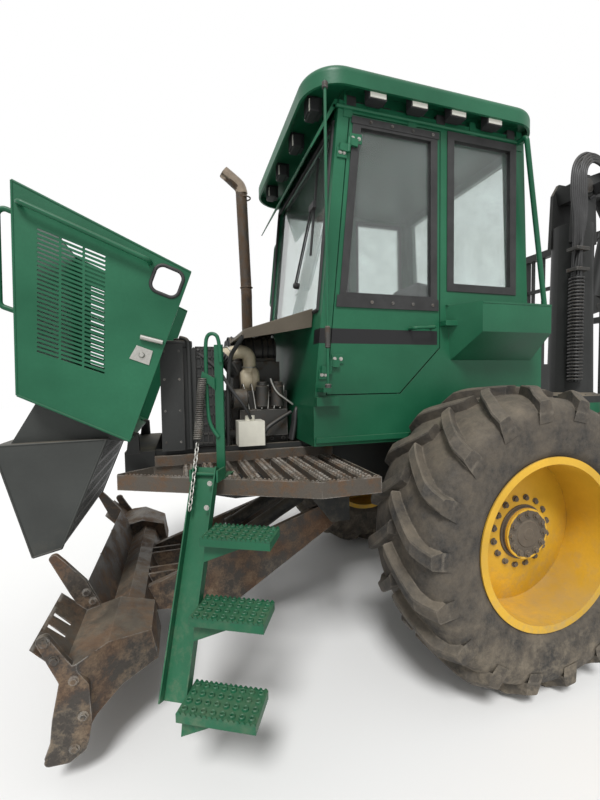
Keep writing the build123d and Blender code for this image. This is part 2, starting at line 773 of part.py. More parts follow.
with BuildPart() as hood:
    slab(hood_outline, hood_half, -hood_half, frame=hood_frame)
    drop = hood_sheet * sqrt(1 + hood_top_slope**2)
    hollow = [
        (-hood_length - 200, -50), (-hood_length - 200, hood_top(-hood_length - 200) - drop),
        (-hood_front_rake - hood_sheet, hood_front_height - drop), (-hood_sheet, -50),
    ]
    slab(hollow, hood_half - hood_sheet, -hood_half + hood_sheet, frame=hood_frame, mode=Mode.SUBTRACT)
    with BuildSketch(hood_frame.offset(-hood_half - 1)):
        with Locations((-865, 99)):
            RectangleRounded(150, 150, 45)
    extrude(amount=hood_sheet + 2, mode=Mode.SUBTRACT)
    pitch = (louvre_front - louvre_back) / (louvre_count - 1)
    for y_face in (hood_half, -hood_half + hood_sheet):
        with BuildSketch(hood_frame.offset(-y_face - 1)) as louvres:
            for index in range(louvre_count):
                u = louvre_back + index * pitch
                for row in range(3):
                    v = louvre_bottom + louvre_slope * (
                        u - louvre_back
                    ) + row * louvre_row + louvre_height / 2
                    with Locations((u, v)):
                        Rectangle(louvre_width, louvre_height)
        extrude(louvres.sketch, amount=hood_sheet + 2, mode=Mode.SUBTRACT)
    notch = [(-30, -5), (-30, 50), (20, 50), (20, -5)]
    for side in (1, -1):
        slab(notch, side * hood_eye_y + 45, side * hood_eye_y - 45, frame=hood_frame, mode=Mode.SUBTRACT)
    for side in (1, -1):
        hood_tube(
            [
                (-938, hood_half, 831), (-938, hood_half + 45, 831), (-921, hood_half + 45, 206),
                (-921, hood_half, 206),
            ],
            side,
        )
        rail_low, rail_high = hood_top(-450) - 2, hood_top(-900) - 2
        hood_tube(
            [
                (-900, 560, rail_high), (-900, 560, rail_high + 80), (-450, 560, rail_low + 80),
                (-450, 560, rail_low),
            ],
            side,
        )
finish(hood, "hood")

with BuildPart() as nose:
    slab(nose_points, nose_half, -nose_half, frame=hood_frame)
    slab(
        [(60, 122), (232, 570), (690, 249), (625, 150)], nose_half - 8, -nose_half + 8, frame=hood_frame,
        mode=Mode.SUBTRACT,
    )
    slab([(-4.9, 45), (-57.3, 501), (205, 545), (45, 130), (30, 45)], 470, -470, frame=hood_frame)
    grille_centre = hood_frame.from_local_coords((350, 90, 0))
    with BuildSketch(
        Plane(origin=grille_centre, x_dir=hood_frame.x_dir, z_dir=hood_frame.y_dir)
    ) as grille:
        with GridLocations(110, 46, 5, 20):
            Rectangle(88, 24)
    extrude(grille.sketch, amount=60, mode=Mode.SUBTRACT)
    for side in (1, -1):
        y_low, y_high = side * hood_eye_y - 13, side * hood_eye_y + 13
        slab([(-10, 0), (8, 55), (40, 60), (24, -10)], y_high, y_low, frame=hood_frame)
        with BuildSketch(hood_frame.offset(-y_high)) as eye:
            Circle(28)
        extrude(eye.sketch, amount=y_high - y_low)
        with BuildSketch(hood_frame.offset(-y_high)) as hole:
            Circle(hood_pin_radius + eye_gap)
        extrude(hole.sketch, amount=y_high - y_low, mode=Mode.SUBTRACT)
finish(nose, "nose")

# Ladder: a channel stile hinged at the tapered edge of the deck, with steps to one side
edge_angle = atan2(deck_outer - deck_front_y, deck_front - deck_corner)
edge_dir = Vector(-cos(edge_angle), sin(edge_angle), 0)
out_dir = Vector(sin(edge_angle), cos(edge_angle), 0)
edge_y = deck_outer - (ladder_hinge_x - deck_corner) * deck_slope
ladder_hinge = Vector(fx + ladder_hinge_x, edge_y, ladder_hinge_z) + out_dir * ladder_pin_out
lean = radians(ladder_lean)
ladder_normal = out_dir * cos(lean) + Vector(0, 0, sin(lean))
ladder_frame = Plane(origin=ladder_hinge, x_dir=edge_dir, z_dir=ladder_normal)
step_heights = (0.29, 0.62, 0.97)
with BuildPart() as ladder:
    with BuildSketch(ladder_frame.offset(-stile_depth / 2)):
        with Locations((0, -ladder_length / 2 + 15)):
            Rectangle(stile_width, ladder_length + 40)
    extrude(amount=stile_depth)
    with BuildSketch(ladder_frame.offset(-stile_depth / 2 + 6)):
        with Locations((0, -ladder_length / 2 + 15)):
            Rectangle(stile_width - 12, ladder_length + 60)
    extrude(amount=stile_depth, mode=Mode.SUBTRACT)
    for share in step_heights:
        middle = ladder_hinge - ladder_frame.y_dir * (ladder_length * share)
        corner = middle + edge_dir * (
            stile_width / 2 + step_width / 2 - 2
        ) + out_dir * (step_depth / 2 - 65)
        with Locations(Plane(origin=corner, x_dir=edge_dir, z_dir=(0, 0, 1))):
            Box(step_width, step_depth, 35)
            with Locations((0, 0, -step_sheet)):
                Box(step_width - 2 * step_sheet, step_depth - 2 * step_sheet, 35, mode=Mode.SUBTRACT)
    with Locations(Plane(origin=ladder_hinge, x_dir=out_dir, z_dir=edge_dir)):
        Cylinder(ladder_pin_radius + eye_gap, stile_width + 20, mode=Mode.SUBTRACT)
finish(ladder, "ladder")

# Handrails of the cab, the ears and pin that carry the ladder, and the post beside it
with BuildPart() as handrails:
    pipe([
        (fx - 370, cab_half, 3235), (fx - 370, cab_half + 70, 3235),
        (fx - 560, cab_half + 70, 2040), (fx - 560, cab_half, 2040),
    ], 16, 30)
    pipe([
        (fx + 930, -cab_half, 2920), (fx + 930, -cab_half - 60, 2920),
        (fx + 985, -cab_half - 60, 2380), (fx + 985, -cab_half, 2380),
    ], 13, 30)
    with Locations((fx + riser_x, riser_y, roof_bottom)):
        Cylinder(8, roof_bottom - riser_low, align=(Align.CENTER, Align.CENTER, Align.MAX))
    # The foot ends ahead of the door's swinging front edge, and the latch box below its sill
    block(riser_x - riser_foot_back, riser_x + 35, cab_half, riser_y + 20, riser_low - 25, riser_low)
    block(940, cab_front_low - 2, cab_half, cab_half + 50, cab_floor + 235, door_sill - sill_gap)
    for u in (-1, 1):
        ear = ladder_hinge + edge_dir * (u * (stile_width / 2 + 9)) - out_dir * (ladder_pin_out / 2)
        ear_height = ladder_hinge_z + 22 - deck_top
        with Locations(
            Plane(origin=(ear.X, ear.Y, deck_top + ear_height / 2), x_dir=edge_dir, z_dir=(0, 0, 1))
        ):
            Box(10, ladder_pin_out + 40, ear_height)
    with Locations(Plane(origin=ladder_hinge, x_dir=out_dir, z_dir=edge_dir)):
        Cylinder(ladder_pin_radius, stile_width + 28)
    post_foot = ladder_hinge + edge_dir * 34 - out_dir * 120
    with Locations(
        Plane(origin=(post_foot.X, post_foot.Y, (deck_top + 1870) / 2), x_dir=edge_dir, z_dir=(0, 0, 1))
    ):
        Box(44, 12, 1870 - deck_top)
    with Locations(
        Plane(origin=(post_foot.X, post_foot.Y, deck_top + 4), x_dir=edge_dir, z_dir=(0, 0, 1))
    ):
        Box(90, 136, 8)
finish(handrails, "handrails")

# Blade: a trough between two guards, with a tapered wing and a hooked end plate on each side
trough = [
    (2292, 664), (2200, 452), (2112, 505), (2035, 470), (1975, 330), (2090, 190),
    (2374, 128), (2380, 156), (2300, 285), (2270, 420), (2276, 560), (2302, 642),
]
guard = [(2469, 815), (2432, 827), (2394, 785), (2299, 668), (2232, 523), (2320, 505), (2380, 624)]
wing_side = [
    (2415, 622), (2300, 515), (2140, 552), (1972, 505), (1945, 350), (2095, 325), (2190, 262),
    (2250, 180),
    (2374, 128), (2380, 156), (2310, 285), (2290, 430), (2330, 530), (2400, 605),
]
wing_plan = [
    (2460, guard_offset), (2460, blade_half), (2250, blade_half), (1940, 850), (1940, guard_offset),
]
hook = [
    (2401, 658), (2355, 669), (2297, 572), (2207, 431), (2201, 269), (2225, 150), (2290, 112),
    (2388, 118), (2358, 210), (2347, 309), (2317, 459),
]
wear_slot = [(2392, 625), (2326, 563), (2340, 536), (2406, 598)]
wear_slot_places = (775, 865)
arm = [(2060, 440), (1990, 300), (1500, 270), (blade_pivot_x - 60, 740), (blade_pivot_x + 20, 860)]
fork = [(2050, 470), (2005, 345), (1800, 368), (1755, 395), (1755, 445), (1800, 472)]
with BuildPart() as blade:
    for side in (1, -1):
        with BuildPart(mode=Mode.PRIVATE) as wing:
            y_low, y_high = sorted((side * guard_offset, side * blade_half))
            slab(place(wing_side), y_high, y_low)
            with BuildSketch():
                with BuildLine():
                    Polyline(*[(fx + x, side * y) for x, y in wing_plan], close=True)
                make_face()
            extrude(amount=1000, mode=Mode.INTERSECT)
            for y in wear_slot_places:
                slab(place(wear_slot), side * y + 11, side * y - 11, mode=Mode.SUBTRACT)
        add(wing.part)
        rounded_slab(place(guard), side * guard_offset + 12, side * guard_offset - 12, 18)
        y_low, y_high = sorted((side * (blade_half - 25), side * blade_half))
        rounded_slab(place(hook), y_high, y_low, 20)
        outer = side * arm_offset + arm_thickness / 2
        slab(place(arm), outer, outer - arm_thickness)
        across(blade_pivot_x, blade_pivot_z, 70, outer, outer - arm_thickness)
        across(
            blade_pivot_x, blade_pivot_z, 30 + eye_gap, outer + 1, outer - arm_thickness - 1,
            mode=Mode.SUBTRACT,
        )
        for plate_y in (side * 160 - 43, side * 160 + 43):
            slab(place(fork), plate_y + 8, plate_y - 8)
            across(blade_cylinder_eye[0], blade_cylinder_eye[1], 30, plate_y + 8, plate_y - 8)
    slab(place(trough), guard_offset, -guard_offset)
    across(1300, 480, 50, arm_offset, -arm_offset)
finish(blade, "blade")

# Lift cylinders of the blade, side by side in one plane
for cylinder_side, cylinder_y in (("left", 160), ("right", -160)):
    make_cylinder(
        f"blade_{cylinder_side}", blade_cylinder_base, blade_cylinder_eye, cylinder_y,
        barrel_radius=45, rod_radius=22, eye_radius=42, pin_radius=22, eye_width=58, barrel_end=640,
        inside=300,
    )

# Middle joint: a steering hub on the vertical pin and a trunnion along X for the frames' roll
hub_low = fork_low + fork_plate + side_gap
hub_high = fork_top - fork_plate - side_gap
roll_z = 915
roll_radius = 120
trunnion_back = joint_x - 480
with BuildPart() as middle_joint:
    with Locations((fx + joint_x, 0, hub_low)):
        Cylinder(120, hub_high - hub_low, align=(Align.CENTER, Align.CENTER, Align.MIN))
    block(joint_x - 190, joint_x, -115, 115, hub_low, hub_high)
    with BuildSketch(Plane(origin=(fx + joint_x - 185, 0, roll_z), z_dir=(-1, 0, 0))):
        Circle(roll_radius)
    extrude(amount=joint_x - 185 - trunnion_back)
    with Locations((fx + joint_x, 0, hub_low)):
        Cylinder(
            joint_pin_radius + spindle_gap, hub_high - hub_low,
            align=(Align.CENTER, Align.CENTER, Align.MIN), mode=Mode.SUBTRACT,
        )
    for side in (1, -1):
        y_low, y_high = sorted((side * 100, side * 300))
        for z_low in (steer_z - 30 - side_gap - 25, steer_z + 30 + side_gap):
            block(joint_x - 170, joint_x - 70, y_low, y_high, z_low, z_low + 25)
        for z in (steer_z - 62, steer_z + 62):
            with Locations((fx + steer_eye[0], side * steer_eye[1], z)):
                Cylinder(steer_pin_radius + 8, 14)
finish(middle_joint, "middle_joint")

# Rear frame: rails, bearing of the trunnion, crane column and the bogie axle
bearing_front = joint_x - 220
bearing_back = joint_x - 430
with BuildPart() as rear_chassis:
    rail = place([
        (rear_rail_front, rear_rail_top), (-rear_reach + 60, rear_rail_top),
        (-rear_reach + 60, rear_rail_bottom + 60), (rear_rail_front, rear_rail_bottom - 40),
    ])
    for side in (1, -1):
        outer = side * rear_rail_offset + 15
        slab(rail, outer, outer - 30)
    with BuildSketch(Plane(origin=(fx + bearing_front, 0, roll_z), z_dir=(-1, 0, 0))):
        Circle(roll_radius + 60)
    extrude(amount=bearing_front - bearing_back)
    block(rear_rail_front - 160, rear_rail_front - 60, -340, 340, rear_rail_bottom - 40, rear_rail_top)
    block(bearing_back - 10, rear_rail_front + 60, -340, 340, rear_rail_bottom - 20, rear_rail_top)
    with BuildSketch(Plane(origin=(fx + joint_x, 0, roll_z), z_dir=(-1, 0, 0))):
        Circle(roll_radius + spindle_gap)
    extrude(amount=500, mode=Mode.SUBTRACT)
    for x in (-2300, -3280, -4100, -5300, -6150, -6690):
        block(
            x - 50, x + 50, -rear_rail_offset, rear_rail_offset, rear_rail_bottom + 60,
            rear_rail_top - 20,
        )
    block(-rear_reach, -rear_reach + 60, -1150, 1150, 880, 1120)
    slab(place([(-rear_reach, 900), (-rear_reach, 800), (-rear_reach + 30, 770), (-rear_reach + 130, 770), (-rear_reach + 200, 900)]),
         tow_eye_width / 2, -tow_eye_width / 2)
    block(-rear_reach + 40, -rear_reach + 210, -40, 40, 880, rear_rail_bottom + 80)
    across(*tow_eye, tow_eye_radius, tow_eye_width, -tow_eye_width, mode=Mode.SUBTRACT)
    across(bogie_x, bogie_z, 95, bogie_inner - 1, -bogie_inner + 1)
    across(bogie_x, bogie_z, bogie_pin_radius, bogie_outer + 20, -bogie_outer - 20)
    for side in (1, -1):
        y_low, y_high = sorted((side * (rear_rail_offset - 60), side * (rear_rail_offset + 60)))
        block(bogie_x - 160, bogie_x + 160, y_low, y_high, bogie_z - 60, rear_rail_bottom + 40)
    block(pillar_x - 330, pillar_x + 330, -340, 340, rear_rail_top - 10, rear_rail_top + 30)
    with Locations((fx + pillar_x, 0, rear_rail_top)):
        Cylinder(250, pillar_base - rear_rail_top, align=(Align.CENTER, Align.CENTER, Align.MIN))
finish(rear_chassis, "rear_chassis")

# Load gate behind the crane, with a grid of upright bars
with BuildPart() as load_gate:
    for side in (1, -1):
        y_low, y_high = sorted((side * (gate_half - 80), side * gate_half))
        block(gate_x - 40, gate_x + 40, y_low, y_high, gate_sill - 1000, gate_top)
        y_low, y_high = sorted((side * 330, side * 410))
        block(gate_x - 40, gate_x + 40, y_low, y_high, rear_rail_top, gate_top)
    block(gate_x - 40, gate_x + 40, -gate_half, gate_half, gate_top - 80, gate_top)
    block(gate_x - 30, gate_x + 30, -gate_half, gate_half, gate_sill, gate_sill + 60)
    block(gate_x - 40, gate_x + 40, -gate_half, gate_half, gate_sill - 1000, gate_sill - 900)
    block(
        gate_x - 20, gate_x + 20, -gate_half, gate_half, (gate_sill + gate_top) / 2,
        (gate_sill + gate_top) / 2 + 40,
    )
    for y in range(-1050, 1051, 140):
        block(gate_x - 15, gate_x + 15, y - 15, y + 15, gate_sill - 900, gate_top - 80)
finish(load_gate, "load_gate")

# Bunk: cross beams with stakes on both sides
with BuildPart() as bunk:
    for x in bolster_places:
        half = bolster_size / 2
        block(
            x - half, x + half, -bolster_half, bolster_half, rear_rail_top, rear_rail_top + bolster_size,
        )
        for side in (1, -1):
            foot = Plane(
                origin=(fx + x, side * (bolster_half - half), rear_rail_top + bolster_size),
                z_dir=(0, 0, 1),
            )
            with BuildSketch(foot):
                Rectangle(130, 130)
            with BuildSketch(foot.offset(stake_top - rear_rail_top - bolster_size)):
                with Locations((0, side * 60)):
                    Rectangle(70, 70)
            loft()
finish(bunk, "bunk")

# Bogies: a beam on each side, rocking on the bogie axle, with a spindle for each wheel
for side_name, side in (("left", 1), ("right", -1)):
    y_low, y_high = sorted((side * bogie_inner, side * bogie_outer))
    half_span = bogie_spacing / 2
    with BuildPart() as bogie:
        slab(place([
            (bogie_x - half_span - 160, rear_tyre_radius - 90),
            (bogie_x - half_span - 160, rear_tyre_radius + 90),
            (bogie_x - 200, bogie_z + 150), (bogie_x + 200, bogie_z + 150),
            (bogie_x + half_span + 160, rear_tyre_radius + 90),
            (bogie_x + half_span + 160, rear_tyre_radius - 90),
            (bogie_x + 200, bogie_z - 150), (bogie_x - 200, bogie_z - 150),
        ]), y_high, y_low)
        for x in (bogie_x - half_span, bogie_x + half_span):
            hub = sorted((side * bogie_outer, side * (hub_face - 190)))
            across(x, rear_tyre_radius, 110, hub[1], hub[0])
            spindle = sorted((side * bogie_outer, side * (hub_face - 20)))
            across(x, rear_tyre_radius, spindle_radius, spindle[1], spindle[0])
        across(
            bogie_x, bogie_z, bogie_pin_radius + spindle_gap, y_high + 1, y_low - 1, mode=Mode.SUBTRACT,
        )
    finish(bogie, f"bogie_{side_name}")

# Steering cylinders between the front frame and the middle joint
for side_name, side in (("left", 1), ("right", -1)):
    make_cylinder(
        f"steer_{side_name}", (steer_base[0], side * steer_base[1]), (steer_eye[0], side * steer_eye[1]),
        steer_z,
        barrel_radius=38, rod_radius=20, eye_radius=42, pin_radius=steer_pin_radius, eye_width=60,
        barrel_end=500,
        inside=195, flat=True,
    )

# Crane pillar: slewing column with the cheeks of the boom's pivot
boom_pivot = (pillar_x, boom_pivot_z)
boom_base_lug = (pillar_x - 270, 2350)
cheek_gap = side_gap + boom_width / 2
with BuildPart() as crane_pillar:
    column = [
        (0, pillar_base + 0.5), (250, pillar_base + 0.5), (250, pillar_base + 60),
        (185, pillar_base + 90),
        (160, 3080), (0, 3080),
    ]
    with BuildSketch(Plane(origin=(fx + pillar_x, 0, 0), x_dir=(1, 0, 0), z_dir=(0, -1, 0))):
        with BuildLine():
            Polyline(*column, close=True)
        make_face()
    revolve(axis=Axis((fx + pillar_x, 0, 0), (0, 0, 1)))
    cheek = place([
        (pillar_x - 150, 2900), (pillar_x - 120, boom_pivot_z + 60), (pillar_x - 50, boom_pivot_z + 110),
        (pillar_x + 60, boom_pivot_z + 110), (pillar_x + 130, boom_pivot_z), (pillar_x + 155, 2900),
    ])
    for side in (1, -1):
        y_low, y_high = sorted((side * cheek_gap, side * (cheek_gap + 30)))
        slab(cheek, y_high, y_low)
        across(
            boom_pivot[0], boom_pivot[1], 90,
            *sorted((side * (cheek_gap + 30), side * (cheek_gap + 50)), reverse=True),
        )
        lug = place([
            (pillar_x - 150, boom_base_lug[1] - 90), (boom_base_lug[0] - 50, boom_base_lug[1] - 40),
            (boom_base_lug[0] - 50, boom_base_lug[1] + 40), (pillar_x - 150, boom_base_lug[1] + 140),
        ])
        y_low, y_high = sorted((side * 43, side * 68))
        slab(lug, y_high, y_low)
    across(boom_pivot[0], boom_pivot[1], 50, cheek_gap + 30, -cheek_gap - 30)
    across(boom_base_lug[0], boom_base_lug[1], 30, 72, -72)
finish(crane_pillar, "crane_pillar")


def along(origin, angle, u, v):
    """A point u along a beam and v to its underside, for a beam at an angle in the XZ plane."""
    x, z = turned(u, v, angle)
    return (origin[0] + x, origin[1] + z)


boom_angle = 180 - boom_lift
boom_tip = along(boom_pivot, boom_angle, boom_length, 0)
stick_angle = 180 + stick_drop
boom_frame = Plane(
    origin=(fx + boom_pivot[0], 0, boom_pivot[1]),
    x_dir=(cos(radians(boom_angle)), 0, sin(radians(boom_angle))),
    z_dir=(0, -1, 0),
)
stick_frame = Plane(
    origin=(fx + boom_tip[0], 0, boom_tip[1]),
    x_dir=(cos(radians(stick_angle)), 0, sin(radians(stick_angle))),
    z_dir=(0, -1, 0),
)
# In these frames u runs outwards along the beam and negative v is its upper side.
boom_eye = (450, 245)
stick_base = (1250, -230)
stick_eye = (-260, -170)
fork_half = 43
with BuildPart() as boom:
    half = boom_width / 2
    slab([
        (-90, -70), (250, -boom_depth / 2), (2500, -boom_depth / 2), (2700, -60),
        (2700, 60), (2400, boom_depth / 2), (700, boom_depth / 2 + 10), (250, boom_depth / 2), (-90, 70),
    ], half, -half, frame=boom_frame)
    for side in (1, -1):
        y_low, y_high = sorted(
            (side * (stick_width / 2 + side_gap), side * (stick_width / 2 + side_gap + 25))
        )
        slab(
            [(2560, -100), (2850, -110), (2980, -50), (2980, 60), (2850, 100), (2560, 100)], y_high,
            y_low,
            frame=boom_frame,
        )
        y_low, y_high = sorted((side * fork_half, side * (fork_half + 22)))
        slab([(320, 100), (395, 295), (505, 295), (580, 100)], y_high, y_low, frame=boom_frame)
        slab([(1130, -100), (1200, -280), (1300, -280), (1370, -100)], y_high, y_low, frame=boom_frame)
    with BuildSketch(boom_frame.offset(-half - 5)):
        Circle(50 + eye_gap)
    extrude(amount=boom_width + 10, mode=Mode.SUBTRACT)
    with BuildSketch(boom_frame.offset(-fork_half - 22)):
        with Locations((stick_base[0], stick_base[1])):
            Circle(28)
    extrude(amount=2 * fork_half + 44)
    with BuildSketch(boom_frame.offset(-stick_width / 2 - 26)):
        with Locations((boom_length, 0)):
            Circle(40)
    extrude(amount=stick_width + 52)
finish(boom, "boom")

boom_lug = along(boom_pivot, boom_angle, boom_eye[0], boom_eye[1])
make_cylinder(
    "boom", boom_base_lug, boom_lug, 0,
    barrel_radius=60, rod_radius=32, eye_radius=50, pin_radius=30, eye_width=84, barrel_end=740,
    inside=492,
)

with BuildPart() as stick:
    half = stick_width / 2
    slab(
        [(-80, -90), (120, -90), (stick_length - 60, -90), (stick_length - 60, 90), (120, 90), (-80, 60)],
        half, -half, frame=stick_frame,
    )
    for side in (1, -1):
        y_low, y_high = sorted((side * fork_half, side * (fork_half + 22)))
        slab([(-315, -150), (-315, -200), (-230, -220), (60, -80), (60, 40), (-70, 40), (-120, -30), (-180, -95)],
             y_high, y_low, frame=stick_frame)
    slab(
        [(140, -80), (stick_length, -80), (stick_length, 80), (140, 80)], half - stick_wall,
        -half + stick_wall, frame=stick_frame, mode=Mode.SUBTRACT,
    )
    with BuildSketch(stick_frame.offset(-half - 2)):
        Circle(40 + eye_gap)
    extrude(amount=stick_width + 4, mode=Mode.SUBTRACT)
finish(stick, "stick")

stick_lug = along(boom_tip, stick_angle, stick_eye[0], stick_eye[1])
stick_base_lug = along(boom_pivot, boom_angle, stick_base[0], stick_base[1])
make_cylinder(
    "stick", stick_base_lug, stick_lug, 0,
    barrel_radius=52, rod_radius=28, eye_radius=46, pin_radius=28, eye_width=84, barrel_end=1090,
    inside=560,
)

slide_gap = 1
hang_reach = 70
with BuildPart() as extension:
    half = stick_width / 2 - stick_wall - slide_gap
    slab(
        [
            (160, -80 + slide_gap), (stick_length, -80 + slide_gap), (stick_length, 80 - slide_gap),
            (160, 80 - slide_gap),
        ],
        half, -half, frame=stick_frame,
    )
    for side in (1, -1):
        y_low, y_high = sorted((side * 38, side * half))
        slab([(stick_length - 10, -60), (stick_length + 115, -45), (stick_length + 115, 45), (stick_length - 10, 70)],
             y_high, y_low, frame=stick_frame)
    with BuildSketch(stick_frame.offset(-half)):
        with Locations((stick_length + hang_reach, 0)):
            Circle(25)
    extrude(amount=2 * half)
finish(extension, "extension")

# Hanger, rotator and the two jaws of the grapple, all plumb under the stick's end
hang = along(boom_tip, stick_angle, stick_length + hang_reach, 0)
rotator_top = hang[1] - hanger_length
grapple_z = rotator_top - 230
with BuildPart() as hanger:
    across(hang[0], hang[1], 45, 36, -36)
    block(hang[0] - 38, hang[0] + 38, -36, 36, rotator_top + 60, hang[1] - 10)
    with Locations((fx + hang[0], 0, rotator_top)):
        Cylinder(90, 90, align=(Align.CENTER, Align.CENTER, Align.MIN))
    across(hang[0], hang[1], 25 + eye_gap, 40, -40, mode=Mode.SUBTRACT)
finish(hanger, "hanger")

with BuildPart() as rotator:
    with Locations((fx + hang[0], 0, rotator_top - 150.5)):
        Cylinder(105, 150, align=(Align.CENTER, Align.CENTER, Align.MIN))
    block(hang[0] - 150, hang[0] + 150, -60, 60, grapple_z - 40, rotator_top - 140)
    for side in (1, -1):
        across(hang[0] + side * 110, grapple_z, 26, grapple_width / 2 + 10, -grapple_width / 2 - 10)
        block(
            hang[0] + side * 110 - 40, hang[0] + side * 110 + 40, -60, 60, grapple_z - 40, grapple_z + 60,
        )
finish(rotator, "rotator")

for side_name, side in (("front", 1), ("back", -1)):
    x = hang[0] + side * 110
    with BuildPart() as jaw:
        outer_arc = [
            (x - side * 20, grapple_z + 50), (x + side * 60, grapple_z + 40),
            (x + side * 230, grapple_z - 160),
            (x + side * 220, grapple_z - 400), (x + side * 60, grapple_z - 600),
            (x - side * 106, grapple_z - 640),
            (x - side * 106, grapple_z - 610), (x + side * 20, grapple_z - 540),
            (x + side * 140, grapple_z - 370),
            (x + side * 140, grapple_z - 180), (x - side * 20, grapple_z - 50),
        ]
        for y in (grapple_width / 2 - 20, -grapple_width / 2 + 20):
            slab(place(outer_arc), y + 20, y - 20)
        across(x + side * 180, grapple_z - 280, 30, grapple_width / 2 - 10, -grapple_width / 2 + 10)
        across(
            x, grapple_z, 26 + eye_gap, grapple_width / 2 + 2, -grapple_width / 2 - 2, mode=Mode.SUBTRACT,
        )
    finish(jaw, f"jaw_{side_name}")
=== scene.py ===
# Forestry forwarder: finishes, tyres, hoses, small fittings, floor, light and camera
import json
import math

import bmesh
import bpy
from mathutils import Matrix, Vector

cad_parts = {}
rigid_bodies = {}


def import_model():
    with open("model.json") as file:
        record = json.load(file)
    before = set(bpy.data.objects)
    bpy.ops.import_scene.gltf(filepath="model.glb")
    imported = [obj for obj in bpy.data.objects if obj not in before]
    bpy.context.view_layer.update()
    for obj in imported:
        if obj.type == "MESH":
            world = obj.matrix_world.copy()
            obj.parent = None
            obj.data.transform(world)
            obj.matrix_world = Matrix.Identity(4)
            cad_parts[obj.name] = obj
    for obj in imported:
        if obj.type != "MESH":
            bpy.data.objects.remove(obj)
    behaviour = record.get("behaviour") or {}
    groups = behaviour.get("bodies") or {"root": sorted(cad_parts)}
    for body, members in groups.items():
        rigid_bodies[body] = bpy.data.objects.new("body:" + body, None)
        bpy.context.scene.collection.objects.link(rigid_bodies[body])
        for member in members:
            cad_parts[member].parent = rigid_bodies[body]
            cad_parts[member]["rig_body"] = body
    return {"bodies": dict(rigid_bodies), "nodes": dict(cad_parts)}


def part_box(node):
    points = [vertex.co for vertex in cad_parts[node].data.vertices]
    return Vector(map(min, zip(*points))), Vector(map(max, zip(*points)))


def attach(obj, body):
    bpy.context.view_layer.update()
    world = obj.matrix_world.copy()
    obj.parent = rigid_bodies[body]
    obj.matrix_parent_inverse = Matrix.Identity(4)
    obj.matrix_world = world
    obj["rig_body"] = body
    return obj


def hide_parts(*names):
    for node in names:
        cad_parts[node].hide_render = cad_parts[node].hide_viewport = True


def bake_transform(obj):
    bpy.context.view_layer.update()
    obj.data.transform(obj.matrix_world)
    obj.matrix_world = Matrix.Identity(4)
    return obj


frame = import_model()
nodes = frame["nodes"]
wheelBodies = [name for name in frame["bodies"] if name.startswith("wheel_")]


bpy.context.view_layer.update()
axleX = (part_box("rim_front_left")[0].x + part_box("rim_front_left")[1].x) / 2
print("frame loaded,", len(nodes), "nodes, front axle at x", round(axleX, 4))

leftward = Vector((0, 1, 0))
upright = Vector((0, 0, 1))


def at(x, y, z):
    # a point given from the front axle, as in the construction
    return Vector((axleX + x, y, z))


def circle(count, start=0.0):
    # (cosine, sine) of evenly spaced turns
    turns = [2 * math.pi * (step + start) / count for step in range(count)]
    return [(math.cos(turn), math.sin(turn)) for turn in turns]


# Node trees are built from sockets: each step gives the output socket of a new node

def feed(tree, entry, value):
    # an input takes a link from a socket, or else a plain value
    if hasattr(value, "is_output"):
        tree.links.new(value, entry)
    else:
        entry.default_value = value


def add(tree, kind, output=0, **given):
    # a new node; given names with a capital are its inputs, the others its properties
    node = tree.nodes.new(kind)
    for name, value in given.items():
        if name[0].isupper():
            feed(tree, node.inputs[name.replace("_", " ")], value)
        else:
            setattr(node, name, value)
    return node.outputs[output]


def maths(tree, operation, first, second, clamp=False):
    node = tree.nodes.new("ShaderNodeMath")
    node.operation = operation
    node.use_clamp = clamp
    feed(tree, node.inputs[0], first)
    feed(tree, node.inputs[1], second)
    return node.outputs[0]


def times(tree, first, second, clamp=False):
    return maths(tree, "MULTIPLY", first, second, clamp)


def vectorMaths(tree, operation, first, second):
    node = tree.nodes.new("ShaderNodeVectorMath")
    node.operation = operation
    feed(tree, node.inputs[0], first)
    feed(tree, node.inputs["Scale" if operation == "SCALE" else 1], second)
    return node.outputs["Value" if operation == "DOT_PRODUCT" else 0]


def mapRange(tree, value, fromLow, fromHigh, toLow=0.0, toHigh=1.0):
    return add(tree, "ShaderNodeMapRange", Value=value, From_Min=fromLow, From_Max=fromHigh,
               To_Min=toLow, To_Max=toHigh)


def noise(tree, place, scale, detail, roughness):
    return add(tree, "ShaderNodeTexNoise", Vector=place, Scale=scale, Detail=detail, Roughness=roughness)


def mixColour(tree, factor, first, second):
    node = tree.nodes.new("ShaderNodeMix")
    node.data_type = "RGBA"
    for index, value in ((0, factor), (6, first), (7, second)):
        feed(tree, node.inputs[index], (*value, 1.0) if isinstance(value, tuple) else value)
    return node.outputs[2]


def shade(colour, factor, more=0.0):
    return tuple(min(1.0, share * factor + more) for share in colour)


# Shader groups shared by the finishes

def newGroup(name, **inputs):
    # a group of number inputs that gives one Mask
    group = bpy.data.node_groups.new(name, "ShaderNodeTree")
    for label, value in inputs.items():
        label = label.replace("_", " ")
        socket = group.interface.new_socket(label, in_out="INPUT", socket_type="NodeSocketFloat")
        socket.default_value = value
    group.interface.new_socket("Mask", in_out="OUTPUT", socket_type="NodeSocketFloat")
    return group, group.nodes.new("NodeGroupInput").outputs, group.nodes.new("NodeGroupOutput").inputs


